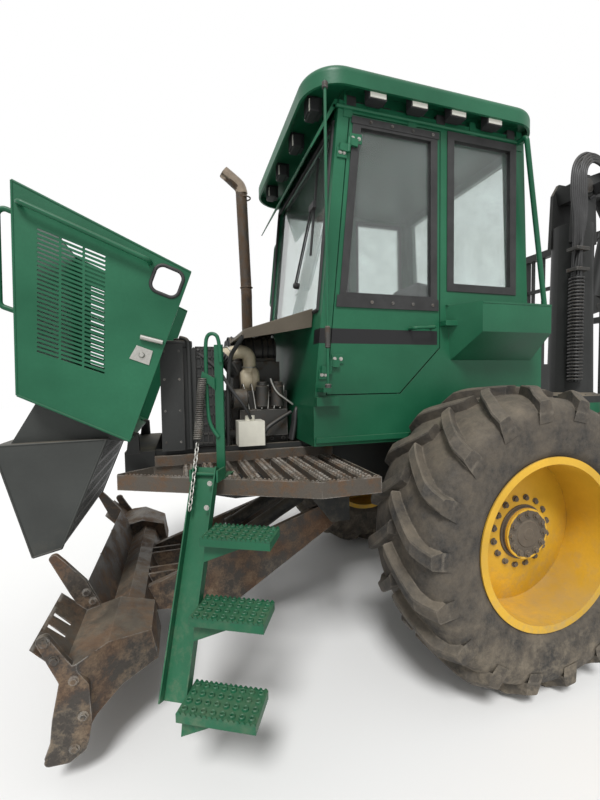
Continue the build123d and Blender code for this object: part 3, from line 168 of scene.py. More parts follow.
def edgeGroup():
    # how much a rounded edge turns away from the flat face: bright at corners
    group, enter, leave = newGroup("paintRubbedEdges", Radius=0.008, Amount=0.6)
    rounded = add(group, "ShaderNodeBevel", samples=4, Radius=enter["Radius"])
    flat = add(group, "ShaderNodeNewGeometry", "Normal")
    turned = maths(group, "SUBTRACT", 1.0, vectorMaths(group, "DOT_PRODUCT", rounded, flat), clamp=True)
    place = add(group, "ShaderNodeTexCoord", "Object")
    patches = mapRange(group, noise(group, place, 9.0, 6.0, 0.75), 0.42, 0.62)
    edge = times(group, mapRange(group, turned, 0.02, 0.16), patches)
    feed(group, leave["Mask"], times(group, edge, enter["Amount"], clamp=True))
    return group


def dustGroup():
    # dust settled on faces that look up, and splashed mud low on the machine
    group, enter, leave = newGroup("settledDust", Settled=0.5, Mud_Height=0.9, Mud=0.5)
    place = add(group, "ShaderNodeTexCoord", "Object")
    normal = add(group, "ShaderNodeNewGeometry", "Normal")
    upward = mapRange(group, add(group, "ShaderNodeSeparateXYZ", "Z", Vector=normal), 0.25, 0.95)
    cloud = mapRange(group, noise(group, place, 5.5, 8.0, 0.7), 0.3, 0.68)
    settled = times(group, times(group, upward, cloud), enter["Settled"])
    height = add(group, "ShaderNodeSeparateXYZ", "Z", Vector=place)
    depth = mapRange(group, maths(group, "SUBTRACT", enter["Mud Height"], height), 0.0, 0.8)
    splash = mapRange(group, noise(group, place, 14.0, 9.0, 0.75), 0.46, 0.66)
    mud = times(group, times(group, depth, splash), enter["Mud"])
    feed(group, leave["Mask"], maths(group, "MAXIMUM", settled, mud, clamp=True))
    return group


rubbedEdges = edgeGroup()
settledDust = dustGroup()
dustColour = (0.3, 0.25, 0.18)


def startMaterial(name, roughness, metallic=0.0):
    material = bpy.data.materials.new(name)
    material.use_nodes = True
    tree = material.node_tree
    shader = tree.nodes["Principled BSDF"].inputs
    shader["Roughness"].default_value = roughness
    shader["Metallic"].default_value = metallic
    return material, tree, shader, add(tree, "ShaderNodeTexCoord", "Object")


def bump(tree, shader, height, strength, distance):
    feed(tree, shader["Normal"], add(tree, "ShaderNodeBump", Height=height, Strength=strength, Distance=distance))


def rubbed(tree, body, bare, radius, amount):
    wear = add(tree, "ShaderNodeGroup", node_tree=rubbedEdges, Radius=radius, Amount=amount)
    return mixColour(tree, wear, body, bare)


def soiled(tree, shader, body, dust, mudHeight, mud):
    # the colour under its dust and mud; gives the share of dirt
    dirt = add(tree, "ShaderNodeGroup", node_tree=settledDust, Settled=dust, Mud_Height=mudHeight, Mud=mud)
    feed(tree, shader["Base Color"], mixColour(tree, dirt, body, dustColour))
    return dirt


def paintedSteel(name, colour, bare, gloss, dust, mud, edges=0.7, band=None):
    # sprayed steel: slight fading, dust on top, mud low down, bare metal at the edges
    material, tree, shader, place = startMaterial(name, gloss)
    shader["Specular IOR Level"].default_value = 0.32
    fade = mapRange(tree, noise(tree, place, 1.6, 5.0, 0.55), 0.3, 0.7)
    speckle = mapRange(tree, noise(tree, place, 60.0, 3.0, 0.6), 0.35, 0.65)
    deep = shade(colour, 0.78)
    body = mixColour(tree, fade, deep, shade(colour, 1.28, 0.012))
    body = mixColour(tree, times(tree, speckle, 0.16), body, deep)
    if band:
        inside = 1.0
        for axis, comparison, limit in band["limits"]:
            reach = add(tree, "ShaderNodeSeparateXYZ", axis, Vector=place)
            inside = times(tree, inside, maths(tree, comparison, reach, limit))
        body = mixColour(tree, inside, body, band["colour"])
    dirt = soiled(tree, shader, rubbed(tree, body, bare, 0.007, edges), dust, 1.0, mud)
    rough = mapRange(tree, fade, 0.0, 1.0, gloss, gloss + 0.14)
    feed(tree, shader["Roughness"], maths(tree, "ADD", rough, times(tree, dirt, 0.4), clamp=True))
    ripple = noise(tree, place, 45.0, 3.0, 0.5)
    bump(tree, shader, maths(tree, "ADD", ripple, times(tree, dirt, 0.6)), 0.12, 0.004)
    return material


def wornSteel(name, clean, rust, scale=7.0, rustShare=0.5, roughness=0.55, mud=0.7):
    # scraped steel with blooms of rust and pressed-in earth
    material, tree, shader, place = startMaterial(name, roughness, 0.35)
    spread = noise(tree, place, scale, 9.0, 0.72)
    bloom = mapRange(tree, spread, 0.62 - rustShare * 0.3, 0.72 - rustShare * 0.2)
    grain = noise(tree, place, scale * 16.0, 4.0, 0.7)
    plain = mixColour(tree, grain, shade(clean, 0.65), shade(clean, 1.35))
    rusty = mixColour(tree, grain, shade(rust, 0.6), shade(rust, 1.4))
    body = rubbed(tree, mixColour(tree, bloom, plain, rusty), (0.42, 0.4, 0.37), 0.009, 0.8)
    soiled(tree, shader, body, 0.5, 1.0, mud)
    feed(tree, shader["Roughness"], mapRange(tree, bloom, 0.0, 1.0, roughness, 0.9))
    bump(tree, shader, maths(tree, "ADD", grain, bloom), 0.3, 0.004)
    return material


def rubberFinish(name, colour, roughness, dust=0.35):
    material, tree, shader, place = startMaterial(name, roughness)
    cloud = mapRange(tree, noise(tree, place, 8.0, 6.0, 0.7), 0.35, 0.7)
    soiled(tree, shader, mixColour(tree, cloud, colour, shade(colour, 1.7, 0.01)), dust, 0.8, 0.4)
    bump(tree, shader, noise(tree, place, 220.0, 3.0, 0.6), 0.15, 0.002)
    return material


def tyreRubber(name):
    # dusty carcass, cleaner and scuffed where the lugs meet the ground
    material, tree, shader, place = startMaterial(name, 0.82)
    cloud = mapRange(tree, noise(tree, place, 6.5, 9.0, 0.72), 0.36, 0.66)
    scratch = mapRange(tree, noise(tree, place, 38.0, 7.0, 0.8), 0.4, 0.62)
    body = mixColour(tree, scratch, (0.017, 0.016, 0.015), (0.045, 0.042, 0.038))
    body = mixColour(tree, times(tree, cloud, 0.72), body, (0.135, 0.11, 0.08))
    soiled(tree, shader, rubbed(tree, body, (0.2, 0.175, 0.14), 0.014, 0.7), 0.4, 0.7, 0.75)
    bump(tree, shader, maths(tree, "ADD", noise(tree, place, 120.0, 5.0, 0.7), cloud), 0.35, 0.004)
    return material


def plainFinish(name, colour, roughness, metallic=0.0, scale=80.0, depth=0.001, spread=0.25):
    # one even material with fine grain
    material, tree, shader, place = startMaterial(name, roughness, metallic)
    grain = noise(tree, place, scale, 4.0, 0.6)
    feed(tree, shader["Base Color"], mixColour(tree, grain, shade(colour, 1 - spread), shade(colour, 1 + spread)))
    bump(tree, shader, grain, 0.2, depth)
    return material


def windowGlass(name):
    # clear pane with a light film of dust
    material, tree, shader, place = startMaterial(name, 0.03)
    shader["IOR"].default_value = 1.45
    shader["Transmission Weight"].default_value = 0.94
    film = mapRange(tree, noise(tree, place, 3.2, 6.0, 0.6), 0.35, 0.8)
    feed(tree, shader["Base Color"], mixColour(tree, film, (0.8, 0.86, 0.85), (0.62, 0.66, 0.63)))
    feed(tree, shader["Roughness"], mapRange(tree, film, 0.0, 1.0, 0.02, 0.12))
    return material


def seatCloth(name):
    # coarse dark weave: two crossed waves, soft and matt
    material, tree, shader, place = startMaterial(name, 0.92)
    shader["Sheen Weight"].default_value = 0.3
    threads = [add(tree, "ShaderNodeTexWave", "Fac", wave_type="BANDS", bands_direction=direction,
                   Scale=120.0, Distortion=0.6, Vector=place) for direction in "XZ"]
    weave = times(tree, *threads)
    body = mixColour(tree, weave, (0.018, 0.018, 0.02), (0.055, 0.055, 0.06))
    soil = times(tree, noise(tree, place, 6.0, 5.0, 0.6), 0.35)
    feed(tree, shader["Base Color"], mixColour(tree, soil, body, (0.12, 0.11, 0.1)))
    bump(tree, shader, weave, 0.5, 0.001)
    return material


green = {"colour": (0.004, 0.092, 0.04), "bare": (0.035, 0.05, 0.04), "gloss": 0.34, "dust": 0.2, "mud": 0.3,
         "edges": 0.55}
stripe = {"colour": (0.012, 0.012, 0.013), "limits": [
    ("Z", "GREATER_THAN", 1.895), ("Z", "LESS_THAN", 1.982), ("X", "GREATER_THAN", axleX + 0.25),
    ("Y", "GREATER_THAN", 0.6),
]}
finishes = {
    "green": paintedSteel("greenPaint", **green),
    "greenStriped": paintedSteel("greenPaintStriped", **green, band=stripe),
    "yellow": paintedSteel("yellowPaint", (0.62, 0.36, 0.025), (0.2, 0.14, 0.08), gloss=0.42, dust=0.55, mud=0.65,
                           edges=0.5),
    "dark": paintedSteel("darkPaint", (0.02, 0.021, 0.02), (0.11, 0.1, 0.09), gloss=0.5, dust=0.6, mud=0.7),
    "noseGrey": paintedSteel("noseGreyPaint", (0.034, 0.037, 0.034), (0.14, 0.13, 0.12), gloss=0.45, dust=0.35,
                             mud=0.3, edges=0.8),
    "cowl": paintedSteel("dustyCowlSheet", (0.085, 0.07, 0.05), (0.24, 0.21, 0.16), gloss=0.5, dust=0.55, mud=0.0,
                         edges=0.5),
    "hub": paintedSteel("dustyHub", (0.085, 0.068, 0.05), (0.22, 0.19, 0.15), gloss=0.6, dust=0.7, mud=0.8,
                        edges=0.6),
    "blade": wornSteel("scrapedBladeSteel", (0.055, 0.047, 0.04), (0.12, 0.062, 0.033), rustShare=0.55,
                       roughness=0.5),
    "deck": wornSteel("troddenDeckSteel", (0.085, 0.072, 0.058), (0.13, 0.08, 0.048), scale=11.0, rustShare=0.45,
                      roughness=0.6),
    "rust": wornSteel("rustyExhaust", (0.062, 0.052, 0.043), (0.105, 0.068, 0.042), scale=12.0, rustShare=0.7,
                      mud=0.15),
    "iron": wornSteel("oilyCastIron", (0.05, 0.048, 0.044), (0.085, 0.06, 0.042), scale=14.0, rustShare=0.35,
                      roughness=0.48, mud=0.3),
    "chrome": plainFinish("polishedRod", (0.62, 0.62, 0.63), 0.12, metallic=1.0, depth=0.0002, spread=0.06),
    "zinc": plainFinish("zincPlate", (0.42, 0.41, 0.38), 0.38, metallic=0.85, depth=0.0005),
    "plastic": plainFinish("grainedPlastic", (0.02, 0.02, 0.021), 0.62, scale=240.0),
    "tank": plainFinish("milkyTank", (0.66, 0.64, 0.55), 0.45, scale=18.0, spread=0.12),
    "intake": plainFinish("dustyIntakePipe", (0.52, 0.45, 0.32), 0.5, scale=30.0, depth=0.002),
    "lens": plainFinish("lampLens", (0.7, 0.69, 0.62), 0.16, scale=160.0, depth=0.0015, spread=0.1),
    "stackTip": plainFinish("burntStackTip", (0.26, 0.21, 0.16), 0.3, metallic=0.8, scale=22.0, spread=0.45),
    "hose": rubberFinish("hoseRubber", (0.016, 0.016, 0.016), 0.48),
    "seal": rubberFinish("windowSeal", (0.011, 0.011, 0.011), 0.62, dust=0.25),
    "tyre": tyreRubber("dustyTyre"),
    "glass": windowGlass("windowPane"),
    "cloth": seatCloth("seatWeave"),
}
print("finishes made:", len(finishes))

nodeFinishes = {
    "green": ["cab_roof", "storage_box", "handrails", "hood", "ladder", "rear_chassis", "bogie_left",
              "bogie_right"],
    "greenStriped": ["cab_body", "door"],
    "yellow": [name for name in nodes if name.startswith("rim_")],
    "dark": ["front_chassis", "front_axle", "radiator", "rear_box", "middle_joint", "load_gate", "bunk",
             "crane_pillar", "boom", "stick", "extension", "hanger", "rotator", "jaw_front", "jaw_back"]
            + [name for name in nodes if name.endswith("_barrel")],
    "noseGrey": ["nose"],
    "blade": ["blade"],
    "deck": ["deck"],
    "rust": ["exhaust"],
    "iron": ["engine"],
    "chrome": [name for name in nodes if name.endswith("_rod")],
    "tyre": [name for name in nodes if name.startswith("tyre_")],
    "glass": ["cab_glass", "door_glass"],
    "tank": ["coolant_tank"],
    "cloth": ["seat"],
    "plastic": ["console", "work_lamps"],
}
for finish, names in nodeFinishes.items():
    for name in names:
        slots = nodes[name].data.materials
        slots.clear()
        slots.append(finishes[finish])


# Pieces are plain meshes at the origin, with their place in the mesh

def inScene(name, data):
    thing = bpy.data.objects.new(name, data)
    bpy.context.scene.collection.objects.link(thing)
    return thing


def meshOf(name, shape):
    mesh = bpy.data.meshes.new(name)
    shape.to_mesh(mesh)
    shape.free()
    return mesh


def plainMesh(name, holder):
    # the mesh that a curve or a modifier makes; its holder goes
    bpy.context.view_layer.update()
    mesh = bpy.data.meshes.new_from_object(holder.evaluated_get(bpy.context.evaluated_depsgraph_get()))
    mesh.name = name
    holder.modifiers.clear()
    bpy.data.objects.remove(holder)
    return mesh


def joined(name, meshes):
    # several meshes as one
    whole = bmesh.new()
    for mesh in meshes:
        whole.from_mesh(mesh)
    return meshOf(name, whole)


def pieceFrom(name, shape, finish, body="front_frame", smooth=False):
    # a visible piece on a body, from one mesh or a list of them
    mesh = joined(name, shape) if isinstance(shape, list) else shape
    piece = inScene(name, mesh)
    if not mesh.materials:
        mesh.materials.append(finishes[finish])
    if smooth:
        for face in mesh.polygons:
            face.use_smooth = True
    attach(piece, body)
    return piece


def bendAcross(piece):
    # a hose or chain that crosses a joint: taken off its body and left unparented, with its place baked into its
    # mesh
    piece.parent = None
    del piece["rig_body"]
    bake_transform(piece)


def tubeMesh(name, points, radius, resolution=3, straight=False):
    # a round tube through points, bent smoothly or in straight stretches
    curve = bpy.data.curves.new(name, "CURVE")
    curve.dimensions = "3D"
    curve.bevel_depth = radius
    curve.bevel_resolution = resolution
    curve.use_fill_caps = True
    spline = curve.splines.new("POLY" if straight else "NURBS")
    spline.points.add(len(points) - 1)
    for point, place in zip(spline.points, points):
        point.co = (*place, 1.0)
    if not straight:
        spline.order_u = 3
        spline.use_endpoint_u = True
        spline.resolution_u = 8
    mesh = plainMesh(name, inScene(name, curve))
    bpy.data.curves.remove(curve)
    return mesh


def bevelled(shape, offset):
    bmesh.ops.bevel(shape, geom=shape.edges, offset=offset, segments=2, affect="EDGES", profile=0.6)


def boxMesh(name, low, high, bevel=0.004, turn=None):
    # a box with small rounded edges between two corners, turned about its middle
    shape = bmesh.new()
    bmesh.ops.create_cube(shape, size=1.0)
    size = Vector(high) - Vector(low)
    middle = (Vector(high) + Vector(low)) / 2
    bmesh.ops.scale(shape, vec=size, verts=shape.verts)
    if bevel:
        bevelled(shape, min(bevel, min(size) * 0.4))
    bmesh.ops.translate(shape, vec=middle, verts=shape.verts)
    if turn is not None:
        bmesh.ops.rotate(shape, cent=middle, matrix=turn, verts=shape.verts)
    return meshOf(name, shape)


def plateMesh(name, outline, thickness, normal, bevel):
    # a flat plate from its outline, thickened along its normal
    shape = bmesh.new()
    face = shape.faces.new([shape.verts.new(point) for point in outline])
    face.normal_update()
    if face.normal.dot(normal) > 0:
        face.normal_flip()
    grown = bmesh.ops.extrude_face_region(shape, geom=[face])
    moved = [item for item in grown["geom"] if isinstance(item, bmesh.types.BMVert)]
    bmesh.ops.translate(shape, vec=Vector(normal).normalized() * thickness, verts=moved)
    bmesh.ops.recalc_face_normals(shape, faces=shape.faces)
    if bevel:
        bevelled(shape, bevel)
    return meshOf(name, shape)


def turnedMesh(name, centre, axis, profile, steps):
    # a profile of (radius, distance along the axis) turned round that axis
    shape = bmesh.new()
    axis = Vector(axis).normalized()
    side = axis.orthogonal().normalized()
    verts = [shape.verts.new(Vector(centre) + side * radius + axis * along) for radius, along in profile]
    edges = [shape.edges.new(pair) for pair in zip(verts, verts[1:])]
    bmesh.ops.spin(shape, geom=verts + edges, cent=centre, axis=axis, angle=2 * math.pi, steps=steps,
                   use_merge=True)
    bmesh.ops.remove_doubles(shape, verts=shape.verts, dist=0.00005)
    bmesh.ops.recalc_face_normals(shape, faces=shape.faces)
    return meshOf(name, shape)


def hoop(name, centre, axis, radius, thickness):
    profile = [(radius + thickness * c, thickness * s) for c, s in circle(10)]
    return turnedMesh(name, centre, axis, profile + profile[:1], 40)


def drum(name, start, end, radius, edge=0.004):
    # a round bar between two points with softened rims
    start, end = Vector(start), Vector(end)
    reach = (end - start).length
    profile = [(0.0, 0.0), (radius - edge, 0.0), (radius, edge), (radius, reach - edge), (radius - edge, reach),
               (0.0, reach)]
    return turnedMesh(name, start, end - start, profile, 32)


# Geometry Nodes: copies round an axle or in rows, bolts at marked points, rings or links along a path

def newTree(name, **inputs):
    # a tree that takes a shape, the named inputs and a material
    tree = bpy.data.node_groups.new(name, "GeometryNodeTree")
    for label, kind in {"Geometry": "Geometry", **inputs, "Material": "Material"}.items():
        tree.interface.new_socket(label.replace("_", " "), in_out="INPUT", socket_type="NodeSocket" + kind)
    tree.interface.new_socket("Geometry", in_out="OUTPUT", socket_type="NodeSocketGeometry")
    return tree, tree.nodes.new("NodeGroupInput").outputs, tree.nodes.new("NodeGroupOutput").inputs


def finished(tree, enter, leave, **placing):
    # instances at points, as real geometry with one material: every tree here ends so
    copies = add(tree, "GeometryNodeInstanceOnPoints", **placing)
    real = add(tree, "GeometryNodeRealizeInstances", Geometry=copies)
    painted = add(tree, "GeometryNodeSetMaterial", Geometry=real, Material=enter["Material"])
    tree.links.new(painted, leave[0])
    return tree


def ringTree():
    # the incoming shape, copied evenly round a line along Y through Centre
    tree, enter, leave = newTree("copiesRoundAxle", Count="Int", Centre="Vector")
    points = add(tree, "GeometryNodePoints", Count=enter["Count"], Position=enter["Centre"])
    share = maths(tree, "DIVIDE", add(tree, "GeometryNodeInputIndex"), enter["Count"])
    turn = add(tree, "ShaderNodeCombineXYZ", Y=times(tree, share, 2 * math.pi))
    rotation = add(tree, "FunctionNodeEulerToRotation", Euler=turn)
    return finished(tree, enter, leave, Points=points, Instance=enter["Geometry"], Rotation=rotation)


def boltTree():
    # a hexagon head on a washer at each point, standing along the point's stored direction
    tree, enter, leave = newTree("boltsAtPoints", Head_Radius="Float", Head_Height="Float")
    both = tree.nodes.new("GeometryNodeJoinGeometry")
    for sides, widthFactor, heightFactor in ((6, 1.0, 1.0), (12, 1.45, 0.3)):
        radius = times(tree, enter["Head Radius"], widthFactor)
        height = times(tree, enter["Head Height"], heightFactor)
        shape = add(tree, "GeometryNodeMeshCylinder", "Mesh", Vertices=sides, Radius=radius, Depth=height)
        lift = add(tree, "ShaderNodeCombineXYZ", Z=times(tree, height, 0.5))
        raised = add(tree, "GeometryNodeTransform", Geometry=shape, Translation=lift)
        tree.links.new(raised, both.inputs[0])
    facing = add(tree, "GeometryNodeInputNamedAttribute", "Attribute", data_type="FLOAT_VECTOR", Name="facing")
    aim = add(tree, "FunctionNodeAlignRotationToVector", axis="Z", Vector=facing)
    return finished(tree, enter, leave, Points=enter["Geometry"], Instance=both.outputs[0], Rotation=aim)


def rowsTree():
    # the incoming shape at Origin, repeated along Column Step and Row Step
    tree, enter, leave = newTree("copiesInRows", Columns="Int", Rows="Int", Origin="Vector",
                                 Column_Step="Vector", Row_Step="Vector")
    index = add(tree, "GeometryNodeInputIndex")
    row = maths(tree, "DIVIDE", maths(tree, "ADD", index, 0.5), enter["Columns"])
    row = maths(tree, "FLOOR", row, 0.0)
    column = maths(tree, "SUBTRACT", index, times(tree, row, enter["Columns"]))
    sideways = vectorMaths(tree, "SCALE", enter["Column Step"], column)
    upwards = vectorMaths(tree, "SCALE", enter["Row Step"], row)
    spot = vectorMaths(tree, "ADD", enter["Origin"], vectorMaths(tree, "ADD", sideways, upwards))
    points = add(tree, "GeometryNodePoints", Count=times(tree, enter["Columns"], enter["Rows"]), Position=spot)
    return finished(tree, enter, leave, Points=points, Instance=enter["Geometry"])


def pathTree():
    # oval rings along the incoming line: Tilt 0 wraps them round it, a quarter turn lays links along it
    tree, enter, leave = newTree("ringsAlongPath", Spacing="Float", Length="Float", Width="Float",
                                 Wire="Float", Tilt="Float", Roll="Float")
    curve = add(tree, "GeometryNodeMeshToCurve", Mesh=enter["Geometry"])
    even = add(tree, "GeometryNodeResampleCurve", mode="LENGTH", Curve=curve, Length=enter["Spacing"])
    size = add(tree, "ShaderNodeCombineXYZ", X=enter["Length"], Y=enter["Width"], Z=1.0)
    oval = add(tree, "GeometryNodeCurvePrimitiveCircle", Resolution=18, Radius=0.5)
    oval = add(tree, "GeometryNodeTransform", Geometry=oval, Scale=size)
    wire = add(tree, "GeometryNodeCurvePrimitiveCircle", Resolution=6, Radius=enter["Wire"])
    ring = add(tree, "GeometryNodeCurveToMesh", Curve=oval, Profile_Curve=wire)
    lean = add(tree, "FunctionNodeEulerToRotation", Euler=add(tree, "ShaderNodeCombineXYZ", Y=enter["Tilt"]))
    tilted = add(tree, "GeometryNodeTransform", Geometry=ring, Rotation=lean)
    aim = add(tree, "FunctionNodeAlignRotationToVector", axis="Z", Vector=add(tree, "GeometryNodeInputTangent"))
    angle = times(tree, add(tree, "GeometryNodeInputIndex"), enter["Roll"])
    roll = add(tree, "FunctionNodeEulerToRotation", Euler=add(tree, "ShaderNodeCombineXYZ", Z=angle))
    rolled = add(tree, "FunctionNodeRotateRotation", rotation_space="LOCAL", Rotation=aim, Rotate_By=roll)
    return finished(tree, enter, leave, Points=even, Instance=tilted, Rotation=rolled)


copiesRoundAxle, boltsAtPoints, copiesInRows, ringsAlongPath = ringTree(), boltTree(), rowsTree(), pathTree()


def grownBy(name, mesh, tree, **inputs):
    # the mesh that a tree makes from a starting mesh; inputs are named as in the tree
    holder = inScene(name, mesh)
    modifier = holder.modifiers.new(name, "NODES")
    modifier.node_group = tree
    for item in tree.interface.items_tree:
        key = item.name.replace(" ", "_")
        if item.in_out == "INPUT" and key in inputs:
            modifier[item.identifier] = inputs[key]
    holder.update_tag()
    return plainMesh(name, holder)


def boltPiece(name, marks, body="front_frame", radius=0.011, height=0.008, finish="zinc"):
    # bolts on a body; marks are (place, direction) pairs
    points = bpy.data.meshes.new(name + "Marks")
    points.from_pydata([place for place, facing in marks], [], [])
    facings = points.attributes.new("facing", "FLOAT_VECTOR", "POINT")
    for index, (place, facing) in enumerate(marks):
        facings.data[index].vector = facing
    mesh = grownBy(name, points, boltsAtPoints, Head_Radius=radius, Head_Height=height, Material=finishes[finish])
    return pieceFrom(name, mesh, finish, body)


def rowsOf(name, shape, finish, origin, columns, columnStep, rows=1, rowStep=(0, 0, 0)):
    return grownBy(name, shape, copiesInRows, Columns=columns, Rows=rows, Origin=origin,
                   Column_Step=Vector(columnStep), Row_Step=Vector(rowStep), Material=finishes[finish])


def ringsOn(name, points, spacing, length, width, wire, finish, link=False):
    turn = math.pi / 2 if link else 0.0
    return grownBy(name, tubeMesh(name + "Line", points, 0.0), ringsAlongPath, Spacing=spacing, Length=length,
                   Width=width, Wire=wire, Tilt=turn, Roll=turn, Material=finishes[finish])


# Tyres: a turned carcass with slanting lugs that wrap over the shoulders

tyreSizes = {
    "front": {"lugs": 18, "lugHeight": 0.055, "lugWidth": 0.062, "sweep": 0.27, "beadRadius": 0.457,
              "radius": 0.82},
    "bogie": {"lugs": 16, "lugHeight": 0.042, "lugWidth": 0.048, "sweep": 0.3, "beadRadius": 0.3, "radius": 0.6},
    "halfWidth": 0.3,
}


def carcassProfile(size, half):
    # (radius, distance across) of the tyre without its lugs, bead to bead
    crown = size["radius"] - size["lugHeight"]
    bead = size["beadRadius"]
    wall = crown - bead
    side = [
        (bead - 0.012, half - 0.052), (bead + 0.001, half - 0.036), (bead + 0.018, half - 0.03),
        (bead + 0.022, half - 0.02), (bead + wall * 0.16, half - 0.012), (bead + wall * 0.34, half - 0.004),
        (bead + wall * 0.52, half - 0.002), (bead + wall * 0.7, half - 0.008), (bead + wall * 0.82, half - 0.02),
        (crown - 0.028, half - 0.05), (crown - 0.008, half - 0.1), (crown, half * 0.34),
    ]
    return [(r, -y) for r, y in side] + [(crown + 0.002, 0.0)] + [(r, y) for r, y in reversed(side)]


def lugMesh(size, half, row):
    # one lug along a slanting path, from just past the middle to over the shoulder
    crown = size["radius"] - size["lugHeight"]
    path = []
    for step in range(10):
        share = step / 9
        across = -0.02 + share * (half - 0.006)
        angle = size["sweep"] * (share ** 0.85) - size["sweep"] / 2
        drop = max(0.0, share - 0.72) / 0.28
        top = size["radius"] - 0.004 * share - 0.062 * drop ** 1.7
        if share > 0.94:
            across = half - 0.002
        path.append((across, angle, top, crown - 0.02 - 0.05 * drop))
    path.append((half - 0.001, path[-1][1] + 0.012, crown - 0.085, crown - 0.12))
    halfTop, halfBase = size["lugWidth"] * 0.5, size["lugWidth"] * 0.72
    shape = bmesh.new()
    rings = []
    for across, angle, top, base in path:
        ring = []
        for radius, offset in ((base, -halfBase), (top - 0.006, -halfTop - 0.004), (top, -halfTop + 0.004),
                               (top, halfTop - 0.004), (top - 0.006, halfTop + 0.004), (base, halfBase)):
            turn = angle + offset / radius
            ring.append(shape.verts.new((radius * math.sin(turn), row * across, radius * math.cos(turn))))
        rings.append(ring)
    for first, second in zip(rings, rings[1:]):
        for index in range(len(first) - 1):
            shape.faces.new((first[index], second[index], second[index + 1], first[index + 1]))
        shape.faces.new((first[-1], second[-1], second[0], first[0]))
    shape.faces.new(rings[0])
    shape.faces.new(list(reversed(rings[-1])))
    bmesh.ops.recalc_face_normals(shape, faces=shape.faces)
    return meshOf("lug", shape)


def makeTyre(node, body, size):
    centre = sum(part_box(node), Vector()) / 2
    half = tyreSizes["halfWidth"]
    carcass = turnedMesh(node + "Carcass", centre, leftward, carcassProfile(size, half), steps=72)
    meshes = [carcass]
    for row in (1, -1):
        lug = lugMesh(size, half, row)
        if row < 0:
            lug.transform(Matrix.Rotation(math.pi / size["lugs"], 4, "Y"))
        meshes.append(grownBy(node + "Lugs", lug, copiesRoundAxle, Count=size["lugs"], Centre=centre,
                              Material=finishes["tyre"]))
    mesh = joined(node + "Tread", meshes)
    mesh.materials.clear()
    piece = pieceFrom(node + "Tread", mesh, "tyre", body)
    for face in mesh.polygons:
        face.use_smooth = face.index < len(carcass.polygons)
    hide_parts(node)


for wheelBody in wheelBodies:
    size = tyreSizes["front"] if wheelBody.startswith("wheel_front") else tyreSizes["bogie"]
    makeTyre(wheelBody.replace("wheel_", "tyre_"), wheelBody, size)
print("tyres made")


# Flat rings and strips along the cab's sides, from outlines of (x, z) measured from the front axle

def ringMesh(name, outer, inner, yLow, yHigh):
    shape = bmesh.new()
    loops = []
    for outline, y in ((outer, yLow), (outer, yHigh), (inner, yHigh), (inner, yLow)):
        loops.append([shape.verts.new(at(x, y, z)) for x, z in outline])
    count = len(outer)
    for first, second in zip(loops, loops[1:] + loops[:1]):
        for index in range(count):
            after = (index + 1) % count
            shape.faces.new((first[index], first[after], second[after], second[index]))
    bmesh.ops.recalc_face_normals(shape, faces=shape.faces)
    bevelled(shape, 0.0022)
    return meshOf(name, shape)


def inset(outline, amount):
    # the outline moved inwards, as four straight sides
    middleX = sum(x for x, z in outline) / len(outline)
    middleZ = sum(z for x, z in outline) / len(outline)
    return [(x + (amount if x < middleX else -amount), z + (amount if z < middleZ else -amount))
            for x, z in outline]


def pillar(z, back):
    # a point behind the cab's raked front edge
    return (cab["frontLow"] - cab["rake"] * max(0.0, z - 1.53) - back, z)


cab = {"half": 0.7, "frontLow": 1.08, "rake": 0.175 / 1.74, "sealWidth": 0.034, "sealProud": 0.006}
windows = {
    "door": [pillar(2.17, 0.125), (0.28, 2.17), (0.28, 3.155), pillar(3.155, 0.125)],
    "side": [(0.165, 2.25), (-0.35, 2.25), (-0.34, 3.2), (0.165, 3.2)],
    "right": [pillar(2.17, 0.075), (0.235, 2.17), (0.235, 3.2), pillar(3.2, 0.075)],
}


def windowFrames():
    # black rubber and clamp frames round the panes
    width = cab["sealWidth"]
    proud = cab["half"] + cab["sealProud"]
    meshes = []
    for key, side in (("side", 1), ("side", -1), ("right", -1)):
        low, high = sorted((side * (cab["half"] - 0.03), side * proud))
        meshes.append(ringMesh(key + "Frame", inset(windows[key], -0.016), inset(windows[key], width), low, high))
    pieceFrom("windowFrames", meshes, "seal")
    doorRing = ringMesh("doorFrame", inset(windows["door"], -0.026), inset(windows["door"], 0.022),
                        cab["half"] - 0.034, proud)
    strips = []
    for low, high in ((3.15, 3.19), (2.105, 2.175)):
        outline = [pillar(low, 0.085), (0.245, low), (0.245, high), pillar(high, 0.085)]
        strips.append(plateMesh("doorStrip", [at(x, proud - 0.001, z) for x, z in outline], 0.004, leftward, 0.001))
    pieceFrom("doorWindowFrame", [doorRing] + strips, "seal", "door")
    marks = [(at(x, proud + 0.004, z), leftward) for z in (2.14, 3.17) for x in (0.29, 0.43, 0.57, 0.71)]
    boltPiece("doorFrameBolts", marks, "door", radius=0.007, height=0.005, finish="iron")
    print("window frames made")


